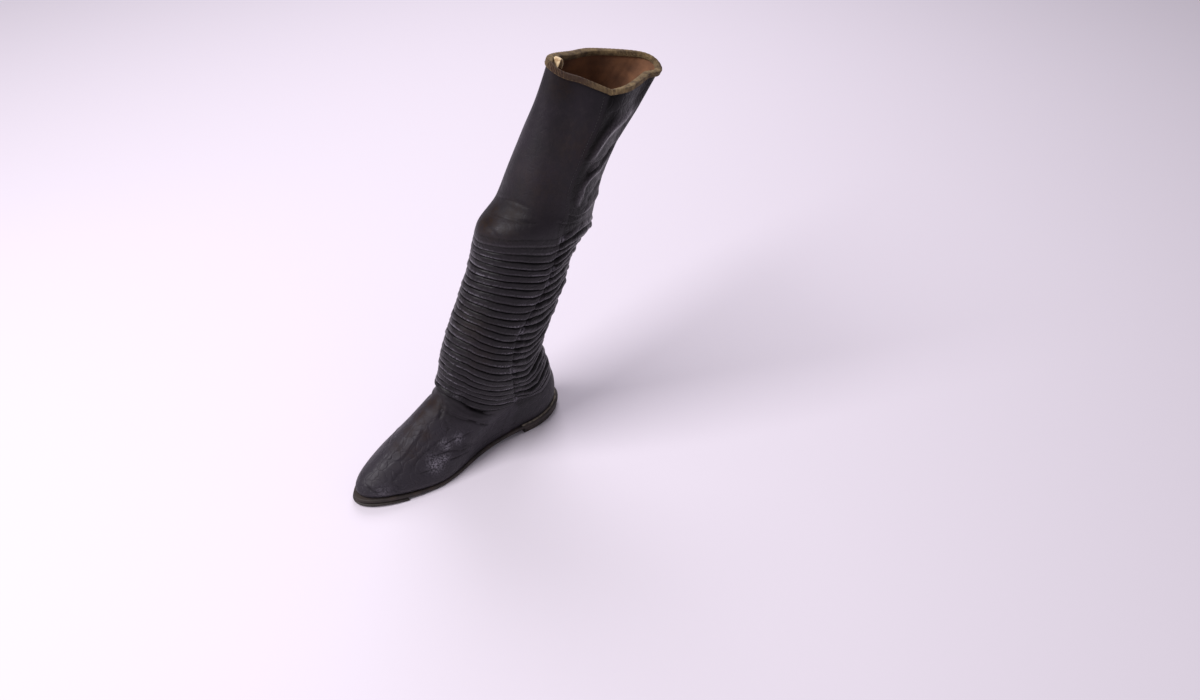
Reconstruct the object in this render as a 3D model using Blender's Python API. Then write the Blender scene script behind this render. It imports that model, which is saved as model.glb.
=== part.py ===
"""A tall pull-on boot of black leather for the right foot, standing empty.

X points to the toe, Y to the boot's medial side and Z up. The origin is on the
floor under the middle of the heel.
"""
from collections import namedtuple
from math import pi, radians

import bmesh
import bpy
import numpy as np

# Driving sizes in metres
SOLE_LENGTH = 0.246
HEEL_REACH = 0.034            # from the heel's middle to the sole's back end
BALL_WIDTH = 0.084
OUTSOLE_THICKNESS = 0.0045
SOLE_CHAMFER = 0.0006
HEEL_LIFT_HEIGHT = 0.006
HEEL_LIFT_LENGTH = 0.062
HEEL_LIFT_INSET = 0.0012
TOE_PIECE_LENGTH = 0.041
TOE_PIECE_THICKNESS = 0.002
TOE_PIECE_LEDGE = 0.0012      # how far it stands proud of the sole's edge
TOE_RISE = 0.0040             # lift of the outsole's underside at the toe
INSTEP_HEIGHT = 0.084
WALL = 0.0018
CLEARANCE = 0.0003            # between pieces that meet
BINDING_CLEARANCE = 0.0010    # between the binding and the wall that it folds over
SHAFT_RISE = 0.288            # from the instep's height to the collar's middle
SHAFT_LEAN_BACK = 0.1355      # from the ankle's middle back to the collar's middle
SHAFT_LEAN_SIDE = 0.021       # the collar's middle stands this far to the medial side
COLLAR_DEPTH = 0.137          # front to back along the slanted collar
CALF_WIDTH = 0.070
PLEAT_COUNT = 26
PLEAT_RELIEF = 0.0013
SEAM_STEP = 0.0005            # the front panel laps over the back panel
INSOLE_THICKNESS = 0.002
BINDING_DROP = 0.0055
BINDING_THICKNESS = 0.0008
RAND_WIDTH = 0.0028
RAND_HEIGHT = 0.0018
RAND_STANDOFF = 0.00095       # from the upper's lowest edge
RAND_SLOPE = 0.6              # outer height as a share of the inner height
LOOP_WIDTH = 0.006
LOOP_THICKNESS = 0.001
LOOP_INSET = 0.0028           # from the binding's inner face at the corner's middle
LOOP_RADIUS = 0.0035
LOOP_RISE = 0.009

# Mesh fineness
SOLE_POINTS = 64              # around the outsole
ARC_POINTS = 33               # around the heel or the toe
FRONT_COLUMNS = 9             # from the upper's front to each side seam
BACK_COLUMNS = 10             # from each side seam to the upper's back
FOOT_ROWS = 9                 # below the pleated field
CALF_ROWS = 9                 # above the pleated field
INNER_PLEAT_ROWS = 14         # behind the pleated field
PLEAT_SAMPLES = 60            # to measure the length of a column
COLUMN_PASSES = 3             # a column's angles and its rows settle in this many passes
LOOP_STEPS = 8
SHARP_EDGE = 40               # degrees
SEAM_STEP_SPAN = 0.8          # degrees that the step of a side seam takes
RIM_SPAN = 0.3                # section numbers below the rim that give its slope

# Places along the foot, as shares of the sole's length from its back end
LIFT_BLEND = (0.255, 0.490)   # the underside falls from the heel seat to the tread
TREAD_BLEND = (0.660, 0.950)  # the underside rises from the tread to the toe
ANKLE_PLACE = 0.317

# Half-widths stand at these shares of a section's depth, from back to front
STATIONS = (0.12, 0.42, 0.70, 0.90)
HEEL_BLUNTNESS = 1.12
TOE_BLUNTNESS = 0.92
FLANK_BULGE = 0.7             # 1 makes the flanks beside a corner quite straight
ROUND_END = 0.2               # share of the depth at each end that a corner leaves round

# front, back: shares of the sole's length; rises and dip: shares of the instep's height
# settle: how closely the section follows the sole; widths: shares of half the ball's width
Foot = namedtuple("Foot", "front front_rise back back_rise dip settle heel waist ball toe")
FOOT_SECTIONS = (
    Foot(0.978, 0.000, 0.024, 0.000, 0.00, 1.00, 0.65, 0.65, 0.94, 0.54),
    Foot(0.984, 0.060, 0.018, 0.070, 0.00, 1.00, 0.68, 0.68, 0.97, 0.58),
    Foot(0.966, 0.140, 0.016, 0.180, 0.02, 0.90, 0.69, 0.70, 0.94, 0.54),
    Foot(0.903, 0.260, 0.019, 0.290, 0.05, 0.75, 0.67, 0.69, 0.88, 0.51),
    Foot(0.820, 0.400, 0.028, 0.400, 0.09, 0.55, 0.65, 0.71, 0.83, 0.49),
    Foot(0.737, 0.545, 0.040, 0.500, 0.13, 0.35, 0.63, 0.73, 0.79, 0.48),
    Foot(0.650, 0.700, 0.055, 0.590, 0.16, 0.15, 0.62, 0.76, 0.77, 0.48),
    Foot(0.570, 0.860, 0.067, 0.670, 0.17, 0.00, 0.61, 0.79, 0.77, 0.50),
)

# rise: share of the shaft's rise; lean: share of both leans; depth: share of the collar's depth
# tilt: degrees, front up; dip, roll: shares of half the calf's width; widths: the same
# corner: from 0, where the medial side is round, to 1, where it is straight either side of its seam
Shaft = namedtuple("Shaft", "rise lean depth tilt dip roll heel waist ball toe corner")
SHAFT_SECTIONS = (
    Shaft(0.090, 0.000, 0.780, 10, 0.34, 0.00, 0.60, 0.98, 0.98, 0.66, 0.00),
    Shaft(0.194, 0.085, 0.780, 11, 0.24, -0.10, 0.63, 1.03, 1.00, 0.68, 0.00),
    Shaft(0.305, 0.195, 0.785, 12, 0.14, -0.16, 0.64, 1.07, 1.02, 0.68, 0.00),
    Shaft(0.420, 0.282, 0.760, 13, 0.07, -0.18, 0.64, 1.08, 1.03, 0.68, 0.00),
    Shaft(0.520, 0.400, 0.900, 14, 0.00, -0.18, 0.65, 1.10, 1.06, 0.70, 0.00),
    Shaft(0.590, 0.505, 0.750, 15, 0.00, -0.13, 0.65, 1.08, 1.04, 0.72, 0.10),
    Shaft(0.680, 0.580, 0.705, 17, 0.00, -0.06, 0.68, 1.09, 1.01, 0.66, 0.25),
    Shaft(0.780, 0.685, 0.710, 18, 0.00, 0.02, 0.68, 1.09, 0.98, 0.58, 0.40),
    Shaft(0.890, 0.835, 0.810, 17, 0.13, 0.16, 0.62, 1.00, 0.86, 0.45, 0.60),
    Shaft(1.000, 0.977, 0.930, 15.5, 0.27, 0.285, 0.50, 0.85, 0.575, 0.33, 0.75),
)

# The sole's plan, as shares of half the ball's width
SoleWidths = namedtuple("SoleWidths", "heel waist ball toe")
SOLE_PLAN = SoleWidths(0.715, 0.715, 0.985, 0.590)

# The last's centre line: share of the sole's length, sideways place as a share of the ball's width
SwingPoint = namedtuple("SwingPoint", "place offset")
SWING = (
    SwingPoint(-0.10, 0.000),
    SwingPoint(0.12, 0.000),
    SwingPoint(0.40, -0.035),
    SwingPoint(0.62, -0.055),
    SwingPoint(0.74, -0.030),
    SwingPoint(0.90, 0.010),
    SwingPoint(1.00, 0.020),
    SwingPoint(1.10, 0.020),
)

# The pleated field's lower and upper edges, as section numbers, by the angle from the front
PleatEdge = namedtuple("PleatEdge", "angle low high")
PLEAT_FIELD = (
    PleatEdge(0, 7.20, 11.90),
    PleatEdge(30, 7.15, 11.92),
    PleatEdge(47, 6.92, 11.95),
    PleatEdge(72, 6.50, 11.88),
    PleatEdge(86, 5.90, 11.75),
    PleatEdge(100, 4.70, 11.60),
    PleatEdge(112, 4.05, 11.55),
    PleatEdge(130, 4.25, 11.50),
    PleatEdge(180, 4.20, 11.45),
)

# The side seams' angle from the front, by section number
SeamPoint = namedtuple("SeamPoint", "section angle")
SEAM_LINE = (
    SeamPoint(0.0, 113),
    SeamPoint(3.7, 111),
    SeamPoint(7.4, 91),
    SeamPoint(9.1, 78),
    SeamPoint(10.8, 95),
    SeamPoint(12.6, 86),
    SeamPoint(14.0, 76),
    SeamPoint(17.0, 77),
)

LAST_SECTION = len(FOOT_SECTIONS) + len(SHAFT_SECTIONS) - 1
SOLE_BACK = -HEEL_REACH
SOLE_FRONT = SOLE_BACK + SOLE_LENGTH
SEAT_LIFT = HEEL_LIFT_HEIGHT + CLEARANCE


def ease(t):
    """Goes from 0 to 1 with level ends."""
    t = np.clip(t, 0, 1)
    return t * t * (3 - 2 * t)


def curve(places, values, at):
    """A smooth curve through the values at the given places that never overshoots them.

    The values are numbers, or arrays of the same shape as the wanted places.
    """
    places = np.asarray(places, float)
    at = np.asarray(at, float)
    values = np.array([np.broadcast_to(value, at.shape) for value in values], float)
    spans = np.diff(places).reshape(-1, *[1] * at.ndim)
    secants = np.diff(values, axis=0) / spans
    before, after = secants[:-1], secants[1:]
    same_way = before * after > 0
    inner = 2 * before * after / np.where(same_way, before + after, 1)
    slopes = np.concatenate([secants[:1], np.where(same_way, inner, 0), secants[-1:]])
    low = np.clip(np.searchsorted(places, at, side="right") - 1, 0, len(places) - 2)
    span = places[low + 1] - places[low]
    t = (at - places[low]) / span
    first, second = (np.take_along_axis(values, step[None], 0)[0] for step in (low, low + 1))
    leaving, coming = (np.take_along_axis(slopes, step[None], 0)[0] for step in (low, low + 1))
    return (
        (2 * t**3 - 3 * t**2 + 1) * first
        + (t**3 - 2 * t**2 + t) * span * leaving
        + (3 * t**2 - 2 * t**3) * second
        + (t**3 - t**2) * span * coming
    )


def along_foot(x):
    """Share of the sole's length at a place x."""
    return (np.asarray(x, float) - SOLE_BACK) / SOLE_LENGTH


def sole_underside(x):
    """Height of the outsole's lower face: heel seat, arch, flat tread and toe spring."""
    share = along_foot(x)
    arch = 1 - ease((share - LIFT_BLEND[0]) / (LIFT_BLEND[1] - LIFT_BLEND[0]))
    spring = ease((share - TREAD_BLEND[0]) / (TREAD_BLEND[1] - TREAD_BLEND[0]))
    return SEAT_LIFT * arch + TOE_RISE * spring


def sole_top(x):
    return sole_underside(x) + OUTSOLE_THICKNESS


def swing(x):
    """Sideways place of the last's centre line."""
    points = np.array(SWING)
    return BALL_WIDTH * curve(points[:, 0], points[:, 1], along_foot(x))


def half_width(widths, share):
    """Reach of the outline to either side, before the sine that rounds its ends."""
    rounding = [2 * (s * (1 - s)) ** 0.5 for s in STATIONS]
    reach = [width / r for width, r in zip(widths, rounding)]
    values = (reach[0] * HEEL_BLUNTNESS, *reach, reach[-1] * TOE_BLUNTNESS)
    return curve((0, *STATIONS, 1), values, share)


Section = namedtuple(
    "Section", "front_x front_z back_x back_z shift dip roll settle bend heel waist ball toe corner"
)


def section_table():
    """Every section of the upper in metres, from the sole's seat to the collar."""
    rows = []
    ball = BALL_WIDTH / 2
    for number, row in enumerate(FOOT_SECTIONS):
        front = SOLE_BACK + row.front * SOLE_LENGTH
        back = SOLE_BACK + row.back * SOLE_LENGTH
        rows.append(Section(
            front, sole_top(front) + CLEARANCE + row.front_rise * INSTEP_HEIGHT,
            back, sole_top(back) + CLEARANCE + row.back_rise * INSTEP_HEIGHT,
            0, row.dip * INSTEP_HEIGHT, 0, row.settle, 1 - ease(number / len(FOOT_SECTIONS)),
            row.heel * ball, row.waist * ball, row.ball * ball, row.toe * ball, 0,
        ))
    calf = CALF_WIDTH / 2
    for row in SHAFT_SECTIONS:
        middle_x = SOLE_BACK + ANKLE_PLACE * SOLE_LENGTH - row.lean * SHAFT_LEAN_BACK
        middle_z = INSTEP_HEIGHT + row.rise * SHAFT_RISE
        reach = row.depth * COLLAR_DEPTH / 2
        reach_x = reach * np.cos(radians(row.tilt))
        reach_z = reach * np.sin(radians(row.tilt))
        side = SHAFT_LEAN_SIDE * middle_z / (INSTEP_HEIGHT + SHAFT_RISE)
        rows.append(Section(
            middle_x + reach_x, middle_z + reach_z, middle_x - reach_x, middle_z - reach_z,
            side, row.dip * calf, row.roll * calf, 0, 0,
            row.heel * calf, row.waist * calf, row.ball * calf, row.toe * calf, row.corner,
        ))
    return np.array(rows, float)


SECTIONS = section_table()


def seam_angle(section):
    points = np.array(SEAM_LINE)
    return np.radians(curve(points[:, 0], points[:, 1], section))


def surface(section, angle):
    """Point of the upper's smooth outer face; both values may be arrays of one shape."""
    section, angle = np.broadcast_arrays(np.asarray(section, float), np.asarray(angle, float))
    numbers = np.arange(len(SECTIONS))
    row = Section(*(curve(numbers, column, section) for column in SECTIONS.T))
    share = (1 + np.cos(angle)) / 2
    reach = half_width((row.heel, row.waist, row.ball, row.toe), share)
    seam = seam_angle(section)
    seam_share = (1 + np.cos(seam)) / 2
    flank = np.sin(seam) * np.minimum((1 - share) / (1 - seam_share), share / seam_share)**FLANK_BULGE
    side = np.sin(angle)
    bent = row.corner * ease(np.minimum(share, 1 - share) / ROUND_END)
    side = np.where(side > 0, side + bent * (flank - side), side)
    x = row.back_x + (row.front_x - row.back_x) * share
    plane = row.back_z + (row.front_z - row.back_z) * share
    seat = sole_top(row.back_x) * (1 - share) + sole_top(row.front_x) * share
    z = plane + row.settle * (sole_top(x) - seat) - row.dip * side**2 - row.roll * side
    y = row.shift + row.bend * swing(x) + reach * side
    return np.stack([x, y, z], axis=-1)


def outward(section, angle):
    """Unit normal of the smooth outer face."""
    step = 0.01
    up = surface(np.minimum(section + step, LAST_SECTION), angle) - surface(
        np.maximum(section - step, 0), angle)
    around = surface(section, angle + step) - surface(section, angle - step)
    normal = np.cross(around, up)
    return normal / np.linalg.norm(normal, axis=-1, keepdims=True)


def inner_face(section, angle):
    """Point of the upper's inner face, one wall behind the outer one."""
    return surface(section, angle) - WALL * outward(section, angle)


def column_angles(section):
    """Angles of the columns at a section, so that two close columns follow each side seam."""
    seam = float(seam_angle(section))
    front = [seam * k / FRONT_COLUMNS for k in range(FRONT_COLUMNS)]
    back = [seam + (pi - seam) * k / BACK_COLUMNS for k in range(BACK_COLUMNS + 1)]
    medial = front + [seam - radians(SEAM_STEP_SPAN)] + back
    lateral = [2 * pi - angle for angle in medial[1:-1]][::-1]
    return np.array(medial + lateral)


def pleat_edge(angle, column):
    """Section number of the pleated field's low or high edge at an angle."""
    points = np.array(PLEAT_FIELD)
    turned = np.abs(np.degrees((np.asarray(angle) + pi) % (2 * pi) - pi))
    return np.interp(turned, points[:, 0], points[:, column])


def pleat_rows(angle):
    """Section numbers of the pleats' grooves and crests down one column, evenly spaced."""
    low, high = pleat_edge(angle, 1), pleat_edge(angle, 2)
    numbers = np.linspace(low, high, PLEAT_SAMPLES)
    points = surface(numbers, angle)
    lengths = np.linalg.norm(np.diff(points, axis=0), axis=1)
    travelled = np.concatenate([[0], np.cumsum(lengths)])
    wanted = np.linspace(0, travelled[-1], 2 * PLEAT_COUNT + 1)
    return np.interp(wanted, travelled, numbers)


def below_rim(angle):
    """Section number where the collar binding's edge crosses one column."""
    slope = surface(LAST_SECTION, angle) - surface(LAST_SECTION - RIM_SPAN, angle)
    return LAST_SECTION - RIM_SPAN * BINDING_DROP / np.linalg.norm(slope)


def columns_at(numbers, column):
    """Angles of one column at several sections."""
    return np.array([column_angles(number)[column] for number in numbers])


def upper_grid():
    """Section number, angle and relief of each point of the upper's outer face."""
    start = column_angles(0)
    lapped = np.zeros(len(start), bool)
    lapped[:FRONT_COLUMNS + 1] = True
    lapped[-FRONT_COLUMNS:] = True
    sections, angles, relief = [], [], []
    for column, angle in enumerate(start):
        middle = angle
        for _ in range(COLUMN_PASSES):
            down = pleat_rows(middle)
            foot = np.linspace(0, down[0], FOOT_ROWS, endpoint=False)
            calf = np.linspace(down[-1], below_rim(middle), CALF_ROWS)[1:]
            numbers = np.concatenate([foot, down, calf, [LAST_SECTION]])
            around = columns_at(numbers, column)
            middle = around[FOOT_ROWS + PLEAT_COUNT]
        proud = np.zeros(len(numbers))
        proud[FOOT_ROWS + 1: FOOT_ROWS + 2 * PLEAT_COUNT: 2] = PLEAT_RELIEF
        if lapped[column]:
            proud[2:-1] += SEAM_STEP
        sections.append(numbers)
        angles.append(around)
        relief.append(proud)
    return np.array(sections).T, np.array(angles).T, np.array(relief).T


def new_object(name, vertices, faces, material):
    mesh = bpy.data.meshes.new(name)
    mesh.from_pydata([tuple(map(float, vertex)) for vertex in vertices], [], faces)
    facing = bmesh.new()
    facing.from_mesh(mesh)
    bmesh.ops.recalc_face_normals(facing, faces=facing.faces)
    facing.to_mesh(mesh)
    facing.free()
    mesh.shade_smooth()
    mesh.set_sharp_from_angle(angle=radians(SHARP_EDGE))
    mesh.materials.append(material)
    made = bpy.data.objects.new(name, mesh)
    bpy.context.scene.collection.objects.link(made)
    return made


def new_material(name, colour, roughness):
    material = bpy.data.materials.new(name)
    material.use_nodes = True
    shader = material.node_tree.nodes["Principled BSDF"]
    shader.inputs["Base Color"].default_value = (*colour, 1)
    shader.inputs["Roughness"].default_value = roughness
    shader.inputs["Metallic"].default_value = 0
    return material


def band_faces(rows, count, closed=True):
    """Quads between stacked rings of points, facing out when the rings run counter-clockwise."""
    faces = []
    for row in range(rows - 1):
        for k in range(count if closed else count - 1):
            after = (k + 1) % count
            low, high = row * count, (row + 1) * count
            faces.append((low + k, low + after, high + after, high + k))
    return faces


def slab(name, rings, material, tipped=True):
    """A solid between stacked outlines, filled across between points at the same x.

    A tipped outline starts with a single point at its front end; an arc has none there.
    """
    count = len(rings[0])
    shift = count if tipped else count - 1
    faces = band_faces(len(rings), count)
    top = (len(rings) - 1) * count
    for k in range(count // 2):
        corners = (k, k + 1, shift - k - 1, (shift - k) % count)
        across = tuple(dict.fromkeys(corners))
        if len(across) > 2:
            faces.append(across[::-1])
            faces.append(tuple(top + corner for corner in across))
    return new_object(name, np.concatenate(rings), faces, material)


def bar(name, profiles, material, closed):
    """A solid that sweeps profiles of equal point count; an open one gets end faces."""
    count = len(profiles[0])
    steps = len(profiles)
    faces = []
    for step in range(steps if closed else steps - 1):
        here, after = step * count, (step + 1) % steps * count
        for k in range(count):
            turn = (k + 1) % count
            faces.append((here + k, after + k, after + turn, here + turn))
    if not closed:
        faces.append(tuple(range(count)))
        faces.append(tuple((steps - 1) * count + k for k in reversed(range(count))))
    return new_object(name, np.concatenate(profiles), faces, material)


def sole_outline(angles, grow=0.0):
    """Plan of the sole at the given angles, counter-clockwise from the toe."""
    widths = [share * BALL_WIDTH / 2 for share in SOLE_PLAN]
    share = (1 + np.cos(angles)) / 2
    x = SOLE_BACK + SOLE_LENGTH * share
    reach = half_width(widths, share)
    y = swing(x) + reach * np.sin(angles)
    return grow_outline(np.stack([x, y], axis=-1), grow)


def grow_outline(points, grow):
    """Moves an outline outward in plan by a set distance."""
    along = np.roll(points, -1, axis=0) - np.roll(points, 1, axis=0)
    normal = np.stack([along[:, 1], -along[:, 0]], axis=-1)
    normal /= np.linalg.norm(normal, axis=1, keepdims=True)
    return points + grow * normal


def raised(outline, height):
    """Stands a plan outline at a height, which may follow x."""
    heights = np.broadcast_to(height, len(outline))
    return np.column_stack([outline, heights])


def full_turn():
    return 2 * pi * np.arange(SOLE_POINTS) / SOLE_POINTS


def angle_at(x):
    """Angle on the medial side where the sole's outline reaches a place x."""
    return float(np.arccos(2 * along_foot(x) - 1))


def make_outsole(material):
    edge = sole_outline(full_turn())
    inner = sole_outline(full_turn(), -SOLE_CHAMFER)
    low, high = sole_underside(edge[:, 0]), sole_top(edge[:, 0])
    slab("outsole", [
        raised(inner, sole_underside(inner[:, 0])),
        raised(edge, low + SOLE_CHAMFER),
        raised(edge, high - SOLE_CHAMFER),
        raised(inner, sole_top(inner[:, 0])),
    ], material)


def make_heel_lift(material):
    start = angle_at(SOLE_BACK + HEEL_LIFT_LENGTH)
    angles = np.linspace(start, 2 * pi - start, ARC_POINTS)
    edge = sole_outline(angles)
    rings = []
    for inset, height in ((SOLE_CHAMFER, 0), (0, SOLE_CHAMFER), (0, HEEL_LIFT_HEIGHT)):
        ring = inset_arc(edge, HEEL_LIFT_INSET + inset)
        rings.append(raised(ring, height))
    slab("heel_lift", rings, material, tipped=False)


def inset_arc(points, inset):
    """Moves an open, counter-clockwise arc of an outline inward in plan."""
    along = np.gradient(points, axis=0)
    normal = np.stack([along[:, 1], -along[:, 0]], axis=-1)
    normal /= np.linalg.norm(normal, axis=1, keepdims=True)
    moved = points - inset * normal
    moved[0, 0] = moved[-1, 0] = points[0, 0]
    return moved


def make_toe_piece(material):
    end = angle_at(SOLE_FRONT - TOE_PIECE_LENGTH)
    edge = sole_outline(np.linspace(-end, end, ARC_POINTS))
    rings = []
    for grow, drop in ((TOE_PIECE_LEDGE - SOLE_CHAMFER, TOE_PIECE_THICKNESS), (TOE_PIECE_LEDGE, 0)):
        ring = inset_arc(edge, -grow)
        rings.append(raised(ring, sole_underside(ring[:, 0]) - CLEARANCE - drop))
    slab("toe_piece", rings, material, tipped=False)


def make_upper(material):
    sections, angles, relief = upper_grid()
    count = sections.shape[1]
    outer = surface(sections, angles) + relief[..., None] * outward(sections, angles)
    plain = np.linspace(FOOT_ROWS, FOOT_ROWS + 2 * PLEAT_COUNT, INNER_PLEAT_ROWS).round()
    foot, calf = np.arange(FOOT_ROWS), np.arange(plain[-1] + 1, len(sections))
    kept = np.concatenate([foot, plain, calf]).astype(int)[::-1]
    inner = inner_face(sections[kept], angles[kept])
    inner[-1, :, 2] = outer[0, :, 2]  # both faces end level on the sole
    points = np.concatenate([outer.reshape(-1, 3), inner.reshape(-1, 3)])
    rows = len(outer) + len(inner)
    faces = band_faces(rows, count)
    last = (rows - 1) * count
    faces += [(last + k, last + (k + 1) % count, (k + 1) % count, k) for k in range(count)]
    new_object("upper", points, faces, material)


def make_insole(material):
    angles = column_angles(0)
    plan = grow_outline(inner_face(np.zeros(len(angles)), angles)[:, :2], -CLEARANCE)
    seat = sole_top(plan[:, 0]) + CLEARANCE
    slab("insole", [raised(plan, seat), raised(plan, seat + INSOLE_THICKNESS)], material)


def make_heel_rand(material):
    start = angle_at(SOLE_BACK + HEEL_LIFT_LENGTH)
    angles = np.linspace(start, 2 * pi - start, ARC_POINTS)
    profiles = []
    for angle in angles:
        foot = surface(0.0, angle)
        normal = outward(0.0, angle)
        normal = np.array([normal[0], normal[1], 0]) / np.hypot(normal[0], normal[1])
        seat = sole_top(foot[0]) + CLEARANCE
        inner = foot + normal * RAND_STANDOFF
        outer = inner + normal * RAND_WIDTH
        corners = ((inner, 0), (outer, 0), (outer, RAND_SLOPE), (inner, 1))
        profiles.append([(spot[0], spot[1], seat + RAND_HEIGHT * up) for spot, up in corners])
    bar("heel_rand", [np.array(profile) for profile in profiles], material, closed=False)


def make_collar_binding(material):
    """A tape folded over the collar's edge, with both its edges level below the rim."""
    rim_angles = column_angles(LAST_SECTION)
    profiles = []
    for column, angle in enumerate(rim_angles):
        edge_section = below_rim(angle)
        edge_angle = columns_at([edge_section], column)[0]
        rim, edge = surface(LAST_SECTION, angle), surface(edge_section, edge_angle)
        rim_out, edge_out = outward(LAST_SECTION, angle), outward(edge_section, edge_angle)
        turn = radians(1)
        along = surface(LAST_SECTION, angle + turn) - surface(LAST_SECTION, angle - turn)
        up = np.cross(rim_out, along) / np.linalg.norm(along)
        outer, inner = SEAM_STEP + BINDING_CLEARANCE, -WALL - BINDING_CLEARANCE
        profiles.append(np.array([
            edge + edge_out * outer,
            edge + edge_out * (outer + BINDING_THICKNESS),
            rim + rim_out * (outer + BINDING_THICKNESS) + up * BINDING_CLEARANCE,
            rim + rim_out * outer + up * (BINDING_CLEARANCE + BINDING_THICKNESS),
            rim + rim_out * inner + up * (BINDING_CLEARANCE + BINDING_THICKNESS),
            rim + rim_out * (inner - BINDING_THICKNESS) + up * BINDING_CLEARANCE,
            edge + edge_out * (inner - BINDING_THICKNESS),
            edge + edge_out * inner,
            rim + rim_out * inner + up * BINDING_CLEARANCE,
            rim + rim_out * outer + up * BINDING_CLEARANCE,
        ]))
    bar("collar_binding", profiles, material, closed=True)


def make_pull_loop(material):
    """A short tape sewn inside the collar's front that curls back over itself."""
    top = float(LAST_SECTION)
    rim = surface(top, 0.0)
    down = surface(top - RIM_SPAN, 0.0) - rim
    down /= np.linalg.norm(down)
    back = -outward(top, 0.0)
    side = np.array([0, 1, 0])
    start = rim + back * (WALL + BINDING_CLEARANCE + BINDING_THICKNESS + LOOP_INSET)
    start = start + down * BINDING_DROP
    profiles = []
    for turn in np.linspace(0, pi, LOOP_STEPS + 1):
        spot = start + back * LOOP_RADIUS * (1 - np.cos(turn)) - down * LOOP_RISE * np.sin(turn)
        through = back * np.cos(turn) + down * np.sin(turn)
        corners = ((-0.5, 0), (0.5, 0), (0.5, 1), (-0.5, 1))
        profiles.append(np.array([
            spot + side * LOOP_WIDTH * across + through * LOOP_THICKNESS * layer
            for across, layer in corners]))
    bar("pull_loop", profiles, material, closed=False)


def main():
    for old in list(bpy.data.objects):
        bpy.data.objects.remove(old)
    black_leather = new_material("black_leather", (0.020, 0.018, 0.020), 0.5)
    sole_leather = new_material("sole_leather", (0.045, 0.032, 0.022), 0.7)
    rand_leather = new_material("rand_leather", (0.22, 0.18, 0.11), 0.7)
    insole_leather = new_material("insole_leather", (0.12, 0.06, 0.035), 0.8)
    tape = new_material("binding_tape", (0.20, 0.14, 0.07), 0.85)
    loop_tape = new_material("loop_tape", (0.45, 0.33, 0.20), 0.9)
    make_outsole(sole_leather)
    make_heel_lift(sole_leather)
    make_toe_piece(sole_leather)
    make_upper(black_leather)
    make_insole(insole_leather)
    make_heel_rand(rand_leather)
    make_collar_binding(tape)
    make_pull_loop(loop_tape)


main()
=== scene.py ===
from collections import namedtuple
from math import pi, radians

import bmesh
import bpy
import numpy as np
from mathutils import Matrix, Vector


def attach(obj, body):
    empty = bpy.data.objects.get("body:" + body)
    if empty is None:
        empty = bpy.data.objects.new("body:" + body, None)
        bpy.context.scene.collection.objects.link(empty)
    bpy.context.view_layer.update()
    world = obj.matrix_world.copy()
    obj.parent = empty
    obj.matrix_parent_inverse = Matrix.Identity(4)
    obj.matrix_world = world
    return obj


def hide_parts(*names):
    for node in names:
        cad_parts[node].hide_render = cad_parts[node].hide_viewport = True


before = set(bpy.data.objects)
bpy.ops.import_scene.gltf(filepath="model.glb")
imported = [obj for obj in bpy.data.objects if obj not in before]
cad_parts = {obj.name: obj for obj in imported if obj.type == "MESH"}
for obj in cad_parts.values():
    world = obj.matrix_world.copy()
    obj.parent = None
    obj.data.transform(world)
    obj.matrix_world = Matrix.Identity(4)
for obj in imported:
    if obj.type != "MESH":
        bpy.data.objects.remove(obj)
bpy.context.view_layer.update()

# Photo stand: a sheet of white paper on the floor, lit by soft boxes.
# The paper runs on behind the boot without an edge, a little lilac in the shade.
PHOTO_LENS = 33               # mm
SENSOR_WIDTH = 36             # mm
CAMERA_PLACE = (0.508, 0.708, 0.793)
CAMERA_AIM = (-0.503, -0.585, -0.636)
PAPER_SIZE = 9.0


def from_hex(code):
    """Linear colour of an sRGB hex value."""
    parts = [int(code[k:k + 2], 16) / 255 for k in (1, 3, 5)]
    linear = [p / 12.92 if p <= 0.04045 else ((p + 0.055) / 1.055) ** 2.4 for p in parts]
    return (*linear, 1.0)


def feed(node, **values):
    """Sets a node's inputs by name or number; a value is a socket to link or a plain value."""
    for name, value in values.items():
        wanted = name.replace("_", " ").strip()
        socket = node.inputs[int(wanted)] if wanted.isdigit() else node.inputs[wanted]
        if isinstance(value, bpy.types.NodeSocket):
            node.id_data.links.new(value, socket)
        else:
            socket.default_value = value


def new_finish(name, **values):
    """A material with its node tree and its Principled shader."""
    finish = bpy.data.materials.new(name)
    finish.use_nodes = True
    skin = finish.node_tree.nodes["Principled BSDF"]
    feed(skin, **values)
    return finish, finish.node_tree, skin


def soft_box(name, place, aim, width, height, watts, tint):
    lamp = bpy.data.lights.new(name, "AREA")
    lamp.shape = "RECTANGLE"
    lamp.size, lamp.size_y = width, height
    lamp.energy = watts
    lamp.color = from_hex(tint)[:3]
    holder = bpy.data.objects.new(name, lamp)
    holder.location = place
    holder.rotation_euler = (Vector(aim) - Vector(place)).to_track_quat("-Z", "Y").to_euler()
    bpy.context.scene.collection.objects.link(holder)


lens = bpy.data.cameras.new("photo_camera")
lens.lens, lens.sensor_width = PHOTO_LENS, SENSOR_WIDTH
camera = bpy.data.objects.new("photo_camera", lens)
camera.location = CAMERA_PLACE
camera.rotation_euler = Vector(CAMERA_AIM).to_track_quat("-Z", "Y").to_euler()
bpy.context.scene.collection.objects.link(camera)
bpy.context.scene.camera = camera
bpy.context.scene.view_settings.view_transform = "Standard"

# Matt coated paper, rolled: almost white, with no shine
paper_finish, _, _ = new_finish("matt_white_paper", Roughness=0.9, Base_Color=from_hex("#ede6ef"))
paper_mesh = bpy.data.meshes.new("paper_floor")
half = PAPER_SIZE / 2
paper_mesh.from_pydata(
    [(-half, -half, 0), (half, -half, 0), (half, half, 0), (-half, half, 0)], [], [(0, 1, 2, 3)])
paper_mesh.materials.append(paper_finish)
paper = bpy.data.objects.new("paper_floor", paper_mesh)
bpy.context.scene.collection.objects.link(paper)

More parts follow.
